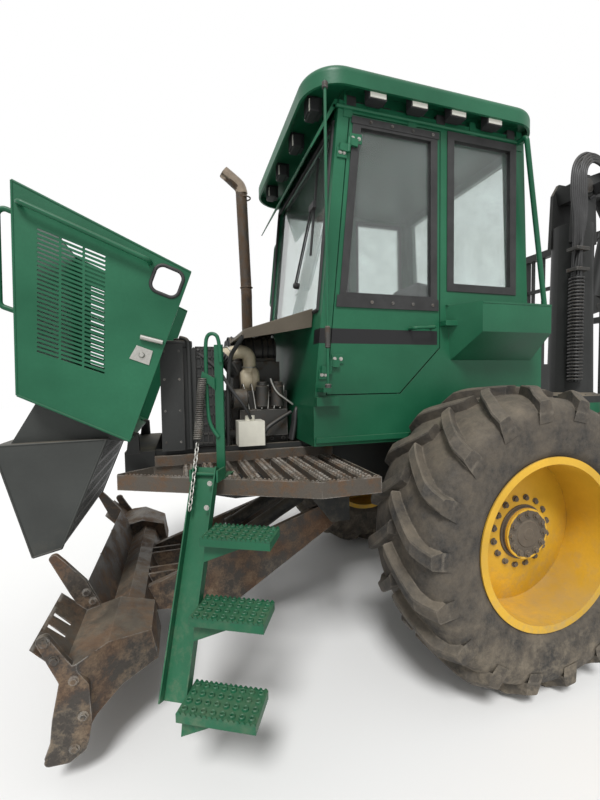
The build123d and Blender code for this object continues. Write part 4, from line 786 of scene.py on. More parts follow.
def screenSurround():
    # seal of the windscreen, and the wiper with its parallel arm
    rake = Vector((-cab["rake"], 0, 1)).normalized()
    out = Vector((1, 0, cab["rake"])).normalized()
    meshes = []
    for y in (-0.642, 0.642):
        low, high = at(pillar(2.09, 0)[0], y, 2.09), at(pillar(3.18, 0)[0], y, 3.18)
        meshes.append(tubeMesh("screenSide", [low, high], 0.014, straight=True))
    for z in (2.095, 3.175):
        x = pillar(z, 0)[0]
        meshes.append(tubeMesh("screenEdge", [at(x, -0.642, z), at(x, 0.642, z)], 0.014, straight=True))
    pieceFrom("screenSeal", meshes, "seal", smooth=True)
    base = at(pillar(2.34, 0)[0], 0.18, 2.34) + out * 0.03  # above the closed hood's rear edge
    tip = base + rake * 0.42 + leftward * 0.26 + out * 0.004
    aside = leftward * 0.05
    hub = [(0, 0), (0.022, 0), (0.022, 0.028), (0.014, 0.04), (0, 0.04)]
    arm = [tubeMesh("wiperArm", [base, tip], 0.006, straight=True),
           tubeMesh("wiperLink", [base + aside, tip + aside], 0.004, straight=True),
           turnedMesh("wiperHub", base - out * 0.03, out, hub, 20),
           boxMesh("wiperHead", tip + Vector((-0.012, -0.015, -0.02)), tip + Vector((0.012, 0.07, 0.02)), 0.003)]
    bladeLow = tip + leftward * 0.03 - rake * 0.3 - out * 0.012
    bladeHigh = tip + leftward * 0.03 + rake * 0.3 - out * 0.012
    arm.append(tubeMesh("wiperBlade", [bladeLow, bladeHigh], 0.008, straight=True))
    pieceFrom("screenWiper", arm, "seal")
    print("windscreen seal and wiper made")


def roofFittings():
    # lamps with housings, lenses and brackets, a dark liner under the roof and its stays
    houses, lenses = [], []
    places = [(1.005, y, (1, 0)) for y in (0.54, 0.19, -0.19, -0.54)]
    places += [(x, 0.745, (0, 1)) for x in (0.7, 0.43, 0.16, -0.11)]
    for x, y, (outX, outY) in places:
        half = Vector((0.03 if outX else 0.058, 0.058 if outX else 0.03, 0.04))
        middle = at(x, y, 3.292) + Vector((outX * 0.006, outY * 0.006, 0))
        houses.append(boxMesh("lampHouse", middle - half, middle + half, 0.008))
        front = middle + Vector((outX, outY, 0)) * 0.03
        lens = Vector((0.004 if outX else 0.05, 0.05 if outX else 0.004, 0.033))
        lenses.append(boxMesh("lampLens", front - lens, front + lens, 0.003))
        houses.append(boxMesh("lampStay", middle + Vector((-0.008, -0.008, 0.03)),
                              middle + Vector((0.008, 0.008, 0.058)), 0.002))
    pieceFrom("lampHouses", houses, "plastic")
    pieceFrom("lampLenses", lenses, "lens")
    liner = [boxMesh("linerSlat", at(x, -0.69, 3.274), at(x + 0.05, 0.69, 3.284), 0.002)
             for x in (-0.4 + index * 0.088 for index in range(15))]
    for x in (0.8, 0.2, -0.34):
        for y in (0.693, -0.693):
            liner.append(boxMesh("roofStay", at(x, y - 0.012, 3.235), at(x + 0.06, y + 0.012, 3.3), 0.003))
    pieceFrom("roofLiner", liner, "seal")
    print("roof lamps and liner made")


hoodFrame = {"hinge": (2.07, 1.375), "open": math.radians(69.5)}


def onHood(u, y, v):
    # a place measured on the closed hood from its hinge, carried to the open hood
    angle = -hoodFrame["open"]
    x = u * math.cos(angle) - v * math.sin(angle)
    z = u * math.sin(angle) + v * math.cos(angle)
    return at(hoodFrame["hinge"][0] + x, y, hoodFrame["hinge"][1] + z)


def hoodFittings():
    # rubber rim of the cut-out, folded edges and latches
    rim = [onHood(-0.865 + math.copysign(0.03, c) + 0.044 * c, 0.599, 0.099 + math.copysign(0.03, s) + 0.044 * s)
           for c, s in circle(32, 0.5)]
    pieceFrom("hoodRimRubber", tubeMesh("hoodRim", rim + rim[:1], 0.0095, straight=True), "seal", "hood",
              smooth=True)
    edges = []
    corners = [(-0.96, 0.002), (-1.03, 0.895), (-0.066, 0.556), (-0.002, 0.002)]
    for side in (1, -1):
        places = [onHood(u, side * 0.597, v) for u, v in corners]
        for first, second in zip(places, places[1:]):
            edges.append(tubeMesh("hoodEdge", [first, second], 0.007, straight=True, resolution=2))
    edges.append(tubeMesh("hoodTopLip", [onHood(-1.03, -0.59, 0.893), onHood(-1.03, 0.59, 0.893)], 0.006,
                          straight=True))
    pieceFrom("hoodFoldedEdges", edges, "green", "hood", smooth=True)
    plate = []
    for side in (1, -1):
        outline = [(-0.49, 0.046), (-0.412, 0.04), (-0.412, 0.142), (-0.49, 0.13)]
        outline = [onHood(u, side * 0.6005, v) for u, v in outline]
        plate.append(plateMesh("latchPlate", outline, 0.004, (0, side, 0), 0.001))
        plate.append(turnedMesh("latchKnob", onHood(-0.45, side * 0.604, 0.09), (0, side, 0),
                                [(0, 0), (0.016, 0), (0.016, 0.006), (0.01, 0.012), (0, 0.012)], 20))
        ends = [onHood(-0.549, side * 0.612, 0.014), onHood(-0.537, side * 0.612, 0.126)]
        plate.append(tubeMesh("latchTube", ends, 0.0135, straight=True))
    pieceFrom("hoodLatches", plate, "zinc", "hood")
    print("hood fittings made")


def noseFittings():
    # folded edges of the nose box
    corners = [(0.032, 0.116), (0.216, 0.592), (0.706, 0.249), (0.633, 0.137)]
    edges = []
    for side in (1, -1):
        places = [onHood(u, side * 0.548, v) for u, v in corners]
        for first, second in zip(places, places[1:] + places[:1]):
            edges.append(tubeMesh("noseEdge", [first, second], 0.006, straight=True, resolution=2))
    pieceFrom("noseFoldedEdges", edges, "noseGrey", "hood", smooth=True)
    print("nose fittings made")


windowFrames()
screenSurround()
roofFittings()
hoodFittings()
noseFittings()


# Inside the cab: stuffed seat, steering wheel and crane levers

seatSizes = {
    "cushion": {"centre": (0.29, 0.0, 1.777), "half": (0.248, 0.236, 0.066), "along": (1, 0, 0), "out": (0, 0, 1),
                "crown": 0.02, "channels": (-0.45, 0.0, 0.45)},
    "back": {"centre": (0.048, 0.0, 2.138), "half": (0.296, 0.228, 0.046), "along": (-0.151, 0, 0.989),
             "out": (0.989, 0, 0.151), "crown": 0.018, "channels": (-0.55, -0.2, 0.15, 0.5)},
}


def padPlace(size, x, y, z):
    # a spot on the stuffed pad from a spot on a cube of half size 1
    reach = (abs(x) ** 7 + abs(y) ** 7 + abs(z) ** 7) ** (1 / 7)
    x, y, z = x / reach, y / reach, z / reach
    front = max(0.0, z)
    rise = size["crown"] * (1 - x * x) * (1 - y * y) * front
    for channel in size["channels"]:
        rise -= 0.011 * math.exp(-((x - channel) / 0.05) ** 2) * front ** 2 * (1 - y ** 6)
    along, out = Vector(size["along"]), Vector(size["out"])
    drawnX = x * (1 - 0.04 * (1 - y * y))
    drawnY = y * (1 - 0.035 * (1 - x * x))
    half = size["half"]
    return at(*size["centre"]) + along * drawnX * half[0] + leftward * drawnY * half[1] + out * (z * half[2] + rise)


def makeSeat():
    for key, size in seatSizes.items():
        shape = bmesh.new()
        bmesh.ops.create_cube(shape, size=2.0)
        bmesh.ops.subdivide_edges(shape, edges=shape.edges, cuts=31, use_grid_fill=True)
        for vert in shape.verts:
            vert.co = padPlace(size, *vert.co)
        bmesh.ops.recalc_face_normals(shape, faces=shape.faces)
        pad = [meshOf(key, shape)]
        for level in (0.62, -0.62):
            loop = []
            for c, s in circle(64):
                stretch = (abs(c) ** 7 + abs(s) ** 7) ** (-1 / 7)
                loop.append(padPlace(size, c * stretch, s * stretch, level))
            pad.append(tubeMesh(key + "Welt", loop + loop[:1], 0.0045, straight=True, resolution=2))
        piece = pieceFrom("seat" + key.capitalize(), pad, "cloth", smooth=True)
        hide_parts("seat")
    print("seat made")


controls = {"wheelRadius": 0.19, "rimThickness": 0.014, "columnTop": (0.65, 0.0, 2.16),
            "columnWay": (-0.69, 0.0, 0.724)}


def makeControls():
    way = Vector(controls["columnWay"]).normalized()
    centre = at(*controls["columnTop"]) + way * 0.03
    meshes = [hoop("wheelRim", centre, way, controls["wheelRadius"], controls["rimThickness"]),
              drum("wheelBoss", centre - way * 0.04, centre + way * 0.012, 0.042)]
    side = way.orthogonal().normalized()
    for turn in (0.3, 2.4, 4.5):
        spoke = Matrix.Rotation(turn, 3, way) @ side
        meshes.append(tubeMesh("wheelSpoke", [centre, centre + spoke * controls["wheelRadius"]], 0.009,
                               straight=True))
    knob = [(0, 0), (0.016, 0.002), (0.024, 0.02), (0.022, 0.045), (0.012, 0.06), (0, 0.063)]
    for y in (0.32, -0.32):
        meshes.append(tubeMesh("lever", [at(0.44, y, 1.96), at(0.445, y, 2.02), at(0.47, y, 2.075)], 0.009))
        meshes.append(turnedMesh("leverKnob", at(0.47, y, 2.07), (0.3, 0, 1), knob, 20))
        meshes.append(boxMesh("armPad", at(0.09, y - 0.062, 1.958), at(0.4, y + 0.062, 1.985), 0.012))
    pieceFrom("cabControls", meshes, "plastic")
    print("steering wheel and levers made")


# Engine bay: cowl, fan guard, radiator fins, air cleaner, intake, hoses and filters

bay = {
    "fanCentre": (1.551, 0.0, 1.58), "fanRadius": 0.25, "airCleaner": (-0.06, 1.9), "guardY": 0.431,
    "copperLine": [(1.25, 0.345, 1.7), (1.23, 0.36, 1.62), (1.15, 0.37, 1.56), (1.11, 0.37, 1.53)],
    "hoses": {
        0.03: [
            [(1.8, 0.34, 1.84), (1.74, 0.39, 1.86), (1.6, 0.4, 1.865), (1.52, 0.33, 1.8), (1.47, 0.2, 1.74)],
            [(1.555, 0.33, 1.36), (1.52, 0.35, 1.36), (1.49, 0.3, 1.34), (1.488, 0.2, 1.33)],
        ],
        0.01: [
            [(1.4, 0.44, 1.455), (1.43, 0.47, 1.52), (1.52, 0.45, 1.64), (1.6, 0.44, 1.78), (1.7, 0.43, 1.85)],
        ],
        0.012: [[(1.12, 0.36, 1.48), (1.24, 0.39, 1.42), (1.3, 0.4, 1.38), (1.33, 0.39, 1.31)]],
    },
}


def makeCowl():
    # pressed sheet under the windscreen, with turned-down sides
    outline = [(1.03, 2.118), (1.4, 1.998), (1.45, 1.982), (1.466, 1.95), (1.454, 1.946), (1.438, 1.972),
               (1.396, 1.986), (1.03, 2.106)]
    meshes = [plateMesh("cowlTop", [at(x, -0.56, z) for x, z in outline], 1.12, leftward, 0.002)]
    for side in (1, -1):
        skirt = [(1.03, 2.114), (1.4, 1.994), (1.45, 1.976), (1.452, 1.93), (1.25, 1.965), (1.04, 2.005)]
        skirt = [at(x, side * 0.556, z) for x, z in skirt]
        meshes.append(plateMesh("cowlSide", skirt, 0.006, (0, side, 0), 0.001))
    for y in (-0.33, 0.0, 0.33):
        meshes.append(tubeMesh("cowlRib", [at(1.045, y, 2.118), at(1.39, y, 2.005)], 0.007, straight=True,
                               resolution=2))
    pieceFrom("cowlSheet", meshes, "cowl")
    stay = [(1.535, 0.4, 1.292), (1.535, 0.4, 1.8), (1.48, 0.52, 1.905), (1.444, 0.551, 1.955)]
    stays = [tubeMesh("cowlStay", [at(x, side * y, z) for x, y, z in stay], 0.013) for side in (1, -1)]
    pieceFrom("cowlStays", stays, "dark", smooth=True)


def makeCooling():
    centre = at(*bay["fanCentre"])
    guard = [hoop("fanWire", centre, (1, 0, 0), bay["fanRadius"] * share, 0.0035)
             for share in (0.22, 0.4, 0.58, 0.76, 0.92, 1.06)]
    for c, s in circle(8):
        ray = Vector((0, c, s))
        guard.append(tubeMesh("fanRay", [centre + ray * 0.05, centre + ray * 0.268], 0.0035, straight=True,
                              resolution=2))
    pieceFrom("fanGuard", guard, "zinc")
    bar = boxMesh("bar", Vector((-0.004, 0, -0.29)), Vector((0.004, 0.006, 0.29)), 0.0015)
    rung = boxMesh("rung", Vector((-0.08, 0, -0.006)), Vector((0.08, 0.006, 0.006)), 0.0015)
    lattice = [rowsOf("guardBars", bar, "dark", at(1.562, bay["guardY"], 1.6), 6, (0.031, 0, 0)),
               rowsOf("guardRungs", rung, "dark", at(1.64, bay["guardY"], 1.316), 11, (0, 0, 0.057))]
    pieceFrom("sideGuard", lattice, "dark")
    fin = boxMesh("fin", Vector((0, -0.0016, -0.27)), Vector((0.007, 0.0016, 0.27)), 0.0)
    tube = boxMesh("coreTube", Vector((0, -0.42, -0.0025)), Vector((0.009, 0.42, 0.0025)), 0.0)
    core = [rowsOf("coreFins", fin, "zinc", at(1.9, -0.415, 1.59), 84, (0, 0.01, 0)),
            rowsOf("coreTubes", tube, "zinc", at(1.9, 0, 1.33), 22, (0, 0, 0.025))]
    pieceFrom("radiatorCore", core, "iron")
    post = [at(1.755, 0.462, 1.295), at(1.755, 0.462, 1.9), at(1.765, 0.44, 1.935), at(1.8, 0.4, 1.945)]
    frameBars = [tubeMesh("sidePost", post, 0.012),
                 boxMesh("topTank", at(1.735, -0.44, 1.878), at(1.885, 0.44, 1.925), 0.012),
                 drum("fillerNeck", at(1.81, 0.3, 1.925), at(1.81, 0.3, 1.95), 0.03)]
    pieceFrom("radiatorFrame", frameBars, "dark")
    marks = [(at(x, 0.475, z), leftward) for x in (1.812, 1.893) for z in (1.34, 1.52, 1.7, 1.86)]
    boltPiece("radiatorBolts", marks, radius=0.005, height=0.004, finish="iron")


def hosesOf(name, paths, radius, **more):
    # tubes through lists of places given from the front axle
    return [tubeMesh(name, [at(*place) for place in path], radius, **more) for path in paths]


def makeEngineDetail():
    y, z = bay["airCleaner"]
    ribs = [hoop("cleanerRib", at(x, y, z), (1, 0, 0), 0.106, 0.006)
            for x in (1.155, 1.195, 1.235, 1.3, 1.365, 1.405, 1.445)]
    ribs.append(drum("cleanerCap", at(1.465, y, z), at(1.492, y, z), 0.085, 0.01))
    ribs.append(hoop("cleanerClamp", at(1.47, y, z), (1, 0, 0), 0.101, 0.005))
    pieceFrom("airCleanerRibs", ribs, "plastic", smooth=True)
    pipe = [(1.36, 0.18, 1.7), (1.358, 0.19, 1.8), (1.365, 0.2, 1.868), (1.44, 0.215, 1.888), (1.54, 0.24, 1.85)]
    elbow = hosesOf("intakePipe", [pipe], 0.044, resolution=5)
    elbow += [drum("turboBody", at(1.3, 0.18, 1.69), at(1.42, 0.18, 1.69), 0.075, 0.018),
              hoop("turboScroll", at(1.33, 0.18, 1.69), (1, 0, 0), 0.062, 0.03)]
    pieceFrom("intakeElbow", elbow, "intake", smooth=True)
    lines = [hoop("clamp", spot, way, 0.046, 0.005)
             for spot, way in ((at(1.358, 0.186, 1.78), (0, 0.1, 1)), (at(1.5, 0.228, 1.868), (1, 0.25, -0.4)))]
    lines += hosesOf("fuelLine", [[(1.15 + 0.055 * i, 0.262, 1.64), (1.15 + 0.055 * i, 0.3, 1.69),
                                   (1.16 + 0.05 * i, 0.33, 1.6), (1.19 + 0.04 * i, 0.345, 1.505)]
                                  for i in range(6)], 0.0045, resolution=2)
    lines += hosesOf("copperLine", [bay["copperLine"]], 0.007)
    pieceFrom("engineLines", lines, "zinc", smooth=True)
    hoses = []
    for radius, paths in bay["hoses"].items():
        hoses += hosesOf("bayHose", paths, radius)
    hoses += hosesOf("pumpHose", [[(0.98, y - 0.1, 1.28), (1.03, y - 0.06, 1.4), (1.085, y, 1.48 + 0.03 * i),
                                   (1.1, y + 0.02, 1.38), (1.12, y + 0.02, 1.3)]
                                  for i, y in enumerate((0.3, 0.33, 0.36))], 0.013)
    pieceFrom("bayHoses", hoses, "hose", smooth=True)
    upperHose = [at(*place) for place in bay["hoses"][0.03][0]]
    pieceFrom("hoseRibs", ringsOn("hoseRibs", upperHose, 0.018, 0.062, 0.062, 0.004, "hose"), "hose", smooth=True)
    fittings = []
    for x in (1.2, 1.3):
        fittings += [drum("filter", at(x, 0.315, 1.515), at(x, 0.315, 1.655), 0.042, 0.008),
                     drum("filterHead", at(x, 0.315, 1.655), at(x, 0.315, 1.68), 0.034, 0.003)]
    fittings += [drum("alternator", at(1.4, 0.33, 1.575), at(1.5, 0.33, 1.575), 0.062, 0.01),
                 drum("beltWheel", at(1.505, 0.33, 1.575), at(1.53, 0.33, 1.575), 0.04, 0.004),
                 boxMesh("rockerCover", at(1.15, -0.11, 1.815), at(1.45, 0.11, 1.848), 0.014)]
    pieceFrom("engineFittings", fittings, "iron")
    marks = [(at(x, 0.262, z), leftward) for z in (1.13, 1.3, 1.59) for x in (1.15, 1.23, 1.31, 1.39, 1.465)]
    boltPiece("engineBolts", marks, radius=0.01, height=0.009, finish="iron")


makeSeat()
makeControls()
makeCowl()
makeCooling()
makeEngineDetail()
print("engine bay made")


# Ladder, its post and the deck's trodden surface

ladderSizes = {"lean": math.radians(22), "length": 0.93, "stileWidth": 0.12, "stepWidth": 0.32, "stepDepth": 0.17,
               "shares": (0.29, 0.62, 0.97), "edgeAngle": math.atan2(0.51, 0.96), "hinge": (1.68, 1.235),
               "pinOut": 0.052}
deckSizes = {"reach": 1.1, "cornerX": 1.18, "slope": 0.53125}
edgeWay = Vector((-math.cos(ladderSizes["edgeAngle"]), math.sin(ladderSizes["edgeAngle"]), 0))
outWay = Vector((math.sin(ladderSizes["edgeAngle"]), math.cos(ladderSizes["edgeAngle"]), 0))


def deckReach(x):
    # how far the deck's edge lies from the middle: straight, then slanting in towards the front
    return min(deckSizes["reach"], deckSizes["reach"] - (x - deckSizes["cornerX"]) * deckSizes["slope"])


hingeX, hingeZ = ladderSizes["hinge"]
ladderHinge = at(hingeX, deckReach(hingeX), hingeZ) + outWay * ladderSizes["pinOut"]
ladderDown = outWay * math.sin(ladderSizes["lean"]) - upright * math.cos(ladderSizes["lean"])


def studMesh(radius, height):
    # a raised pierced scale of the anti-slip sheet
    outline = [(radius, -0.002), (radius * 0.8, height * 0.75), (radius * 0.62, height),
               (radius * 0.46, height * 0.8), (radius * 0.34, -0.002), (radius, -0.002)]
    return turnedMesh("stud", (0, 0, 0), (0, 0, 1), outline, 8)


def toothMesh(way, width, height, thickness):
    # a small upright tooth of a sheared sheet edge
    way = Vector(way).normalized()
    outline = [way * (-width / 2), way * (width / 2), way * (width * 0.18) + upright * height,
               way * (-width * 0.18) + upright * height]
    return plateMesh("tooth", outline, thickness, way.cross(upright), 0.0)


def makeLadderDetail():
    scales, gussets = [], []
    for share in ladderSizes["shares"]:
        middle = ladderHinge + ladderDown * (ladderSizes["length"] * share)
        corner = middle + edgeWay * (ladderSizes["stileWidth"] / 2 + ladderSizes["stepWidth"] / 2 - 0.002)
        top = corner + outWay * (ladderSizes["stepDepth"] / 2 - 0.065) + upright * 0.0175
        start = top - edgeWay * 0.136 - outWay * 0.06
        scales.append(rowsOf("stepScales", studMesh(0.015, 0.01), "green", start, 8, edgeWay * 0.039, 4,
                             outWay * 0.04))
        for side in (1, -1):
            edge = top - edgeWay * 0.15 + outWay * side * 0.082
            scales.append(rowsOf("stepTeeth", toothMesh(edgeWay, 0.02, 0.01, 0.004), "green", edge, 15,
                                 edgeWay * 0.0215))
        inner = middle + edgeWay * (ladderSizes["stileWidth"] / 2 + 0.001) - upright * 0.018
        for shift in (-0.01, 0.05):
            spot = inner + outWay * shift
            corners = [spot, spot + edgeWay * 0.2, spot + edgeWay * 0.185 - upright * 0.014,
                       spot - upright * 0.085 + outWay * 0.02]
            gussets.append(plateMesh("stepGusset", corners, 0.005, outWay, 0.001))
    pieceFrom("stepScales", scales, "green", "ladder")
    pieceFrom("stepGussets", gussets, "green", "ladder")
    front = outWay * math.cos(ladderSizes["lean"]) + upright * math.sin(ladderSizes["lean"])
    marks = [(ladderHinge + ladderDown * (ladderSizes["length"] * share) + front * 0.0225 + edgeWay * 0.04, outWay)
             for share in (0.05, 0.17)]
    boltPiece("ladderBolts", marks, "ladder", radius=0.009, height=0.007)
    print("ladder dressed")


def makeLadderPost():
    post = ladderHinge + edgeWay * 0.034 - outWay * 0.12
    foot = Vector((post.x, post.y, 0))

    def spot(along, out, z):
        return foot - edgeWay * along + outWay * out + upright * z

    loop = [(0.006, 0.01, 1.4), (0.04, 0.012, 1.44), (0.062, 0.014, 1.52), (0.064, 0.014, 1.82),
            (0.06, 0.014, 1.915), (0.02, 0.014, 1.93), (-0.012, 0.012, 1.9), (-0.014, 0.01, 1.78)]
    loop = tubeMesh("postLoop", [spot(*place) for place in loop], 0.0095)
    arm = [(0.018, 0.008, 1.7), (0.075, 0.03, 1.735), (0.082, 0.03, 1.705), (0.018, 0.008, 1.64)]
    arm = plateMesh("springArm", [spot(*place) for place in arm], 0.008, outWay, 0.001)
    pieceFrom("postLoop", [loop, arm], "green", smooth=True)
    top, low = spot(0.075, 0.036, 1.7), spot(0.09, 0.075, 1.395)
    way = (low - top).normalized()
    side = way.orthogonal().normalized()
    other = way.cross(side)
    helix = []
    for step in range(301):  # thirty turns of ten steps
        angle = 2 * math.pi * step / 10
        helix.append(top.lerp(low, step / 300) + (side * math.cos(angle) + other * math.sin(angle)) * 0.019)
    spring = [tubeMesh("springCoil", helix, 0.0042, straight=True, resolution=2),
              tubeMesh("springHook", [top - way * 0.03, top - way * 0.01, top + side * 0.019], 0.004),
              tubeMesh("springEye", [low + way * 0.03, low + way * 0.01, low + side * 0.019], 0.004)]
    pieceFrom("postSpring", spring, "iron", smooth=True)
    end = ladderHinge + ladderDown * 0.15 + outWay * 0.032 - edgeWay * 0.04
    sag = [low + way * 0.026, low.lerp(end, 0.5) - upright * 0.012, end]
    chain = ringsOn("ladderChain", sag, 0.024, 0.034, 0.018, 0.0032, "zinc", link=True)
    hung = pieceFrom("ladderChain", chain, "zinc", smooth=True)
    bendAcross(hung)
    print("ladder post, spring and chain made")


def makeDeckSurface():
    meshes = []
    stud = studMesh(0.0125, 0.011)
    for side in (1, -1):
        for index in range(9):
            x = 0.905 + 0.105 * index
            reach = deckReach(x + 0.06) - 0.02
            count = int((reach - 0.455) / 0.034) + 1
            for shift in (0.015, 0.045):
                meshes.append(rowsOf("plankScales", stud, "deck", at(x + shift, side * 0.455, 1.196), count,
                                     (0, side * 0.034, 0)))
        straight = toothMesh((1, 0, 0), 0.02, 0.009, 0.006)
        meshes.append(rowsOf("edgeTeeth", straight, "deck", at(0.88, side * 1.096, 1.199), 14, (0.0215, 0, 0)))
        slope = Vector((0.96, -side * 0.51, 0)).normalized()
        meshes.append(rowsOf("slopeTeeth", toothMesh(slope, 0.02, 0.009, 0.006), "deck",
                             at(1.2, side * 1.084, 1.199), 48, slope * 0.0215))
    pieceFrom("deckScales", meshes, "deck")
    curbs = [boxMesh("deckCurb", at(0.87, y - 0.012, 1.2), at(1.96, y + 0.012, 1.262)) for y in (0.446, -0.446)]
    pieceFrom("deckCurbs", curbs, "deck")
    print("deck surface made")


makeLadderDetail()
makeLadderPost()
makeDeckSurface()


# Wheels: dusty hub caps with their bolts, and wheel nuts on the rims

hubSizes = {"face": 1.156, "radius": 0.142, "boltCircle": 0.112, "nutCircle": 0.188, "nutCount": 16, "dishY": 1.106}


def makeHub(wheelBody):
    side = 1 if wheelBody.endswith("left") else -1
    centre = sum(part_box(wheelBody.replace("wheel_", "rim_")), Vector()) / 2
    centre.y = 0
    face = hubSizes["face"]
    cap = turnedMesh(wheelBody + "Cap", centre, (0, side, 0), [
        (0.0, face + 0.01), (0.03, face + 0.01), (0.034, face + 0.007), (0.07, face + 0.007),
        (0.076, face + 0.001), (0.128, face + 0.001), (0.137, face - 0.008),
        (hubSizes["radius"], face - 0.02), (hubSizes["radius"], face - 0.036),
        (0.1, face - 0.036), (0.0, face - 0.036),
    ], 48)
    meshes = [cap, hoop(wheelBody + "Weld", centre + Vector((0, side * (face - 0.036), 0)), leftward, 0.146, 0.008)]
    pieceFrom(wheelBody + "Cap", meshes, "hub", wheelBody)
    marks = []
    for turns, radius, level in ((circle(12), hubSizes["boltCircle"], face + 0.001),
                                 (circle(hubSizes["nutCount"], 0.5), hubSizes["nutCircle"], hubSizes["dishY"])):
        marks += [(centre + Vector((radius * c, side * level, radius * s)), (0, side, 0)) for c, s in turns]
    boltPiece(wheelBody + "Nuts", marks, wheelBody, radius=0.014, height=0.014, finish="hub")


for wheelBody in wheelBodies:
    makeHub(wheelBody)
print("hubs made")


# Outside fittings: door hinges and seams, turnbuckle, exhaust bands, storage box, blade and frame hoses

fitting = {"hingeHeights": (1.76, 3.02), "hingeBack": 0.078, "riser": (1.025, 0.792), "stack": (1.21, -0.69)}


def cabFittings():
    plates, marks = [], []
    for z in fitting["hingeHeights"]:
        x = pillar(z, fitting["hingeBack"])[0]
        for low, high, level in ((-0.085, -0.01, 0.045), (0.01, 0.07, -0.045)):
            plates.append(boxMesh("hingePlate", at(x + low, 0.7, z + level - 0.028),
                                  at(x + high, 0.708, z + level + 0.028), 0.003))
            marks += [(at(x + low + 0.018, 0.708, z + level), leftward),
                      (at(x + high - 0.018, 0.708, z + level), leftward)]
    pieceFrom("hingePlates", plates[1::2], "green")
    pieceFrom("doorHingePlates", plates[0::2], "green", "door")
    boltPiece("hingeBolts", [mark for index, mark in enumerate(marks) if index % 4 > 1], radius=0.008, height=0.006)
    boltPiece("doorHingeBolts", [mark for index, mark in enumerate(marks) if index % 4 < 2], "door", radius=0.008,
              height=0.006)
    x, y = fitting["riser"]
    fittings = [drum("turnbuckle", at(x, y, 1.86), at(x, y, 1.98), 0.015, 0.005),
                drum("riserNut", at(x, y, 1.64), at(x, y, 1.662), 0.017, 0.002),
                drum("riserCollar", at(x, y, 3.24), at(x, y, 3.275), 0.016, 0.004)]
    pieceFrom("riserFittings", fittings, "iron")
    outline = [(0.88, 3.18), (0.82, 3.18), (0.832, 3.3), (0.872, 3.3)]
    brackets = [plateMesh("roofBracket", [at(x - back, 0.694, z) for x, z in outline], 0.01, leftward, 0.001)
                for back in (0.0, 0.42, 0.86, 1.23)]
    rail = tubeMesh("gutter", [at(0.925, 0.704, 3.232), at(-0.4, 0.704, 3.232)], 0.011, straight=True)
    front = tubeMesh("gutterFront", [at(0.93, -0.69, 3.236), at(0.93, 0.69, 3.236)], 0.01, straight=True)
    sill = boxMesh("cabSill", at(-0.43, 0.7, 1.318), at(1.07, 0.712, 1.352), 0.003)
    pieceFrom("roofGutter", brackets + [rail, front, sill], "green")
    lid = [boxMesh("lidSeam", at(-0.452, 0.896, 2.128), at(0.078, 0.903, 2.134), 0.001),
           boxMesh("boxLid", at(-0.5, 0.7, 2.14), at(0.19, 0.722, 2.147), 0.002),
           boxMesh("boxBracket", at(0.08, 0.7, 2.01), at(0.23, 0.76, 2.045), 0.004)]
    pieceFrom("storageLid", lid, "green")
    x, y = fitting["stack"]
    bands = [hoop("stackBand", at(x + 0.01, y - 0.004, z), (0.03, 0.02, 1), 0.051, 0.006) for z in (2.52, 3.3)]
    tip = [at(1.243, -0.69, 3.33), at(1.252, -0.69, 3.385), at(1.29, -0.69, 3.424), at(1.398, -0.69, 3.4985)]
    pieceFrom("stackTip", tubeMesh("stackTip", tip, 0.0515, resolution=6), "stackTip", smooth=True)
    pieceFrom("stackBands", bands, "rust", smooth=True)
    shield = []
    for step in range(9):
        angle = math.radians(20 + 140 * step / 8)
        slatX, slatY = 1.21 + 0.118 * math.cos(angle), -0.78 + 0.118 * math.sin(angle)
        shield.append(boxMesh("heatSlat", at(slatX - 0.01, slatY - 0.004, 1.26),
                              at(slatX + 0.01, slatY + 0.004, 1.7), 0.002))
    pieceFrom("heatShield", shield, "dark")
    print("cab fittings made")


def bladeFittings():
    marks = []
    for side in (1, -1):
        for x, z in ((2.36, 0.64), (2.262, 0.46), (2.232, 0.3), (2.27, 0.17), (2.33, 0.56)):
            marks.append((at(x, side * 1.0502, z), (0, side, 0)))
        for x, z in ((2.3, 0.61), (2.27, 0.56)):
            marks.append((at(x, side * 0.6125, z), (0, side, 0)))
    boltPiece("bladeBolts", marks, "blade", radius=0.015, height=0.011, finish="blade")
    bar = boxMesh("wearEdge", at(2.352, -0.596, 0.1295), at(2.386, 0.596, 0.158), 0.004)
    weld = [(2.303, 0.64), (2.278, 0.56), (2.272, 0.42), (2.302, 0.285), (2.374, 0.165)]
    ribs = hosesOf("troughWeld", [[(x, y, z) for x, z in weld] for y in (-0.2, 0.2)], 0.006, resolution=2)
    pieceFrom("bladeWearEdge", [bar] + ribs, "blade", "blade")
    bend = [(1.01, 0.905), (1.04, 0.95), (1.0, 0.985), (0.9, 0.955), (0.82, 0.935)]
    hoses = hosesOf("liftHose", [[(x, side * 0.16 + shift, z) for x, z in bend] for side in (1, -1)
                                 for shift in (-0.02, 0.024)], 0.01)
    lift = pieceFrom("liftHoses", hoses, "hose", smooth=True)
    bendAcross(lift)
    print("blade fittings made")


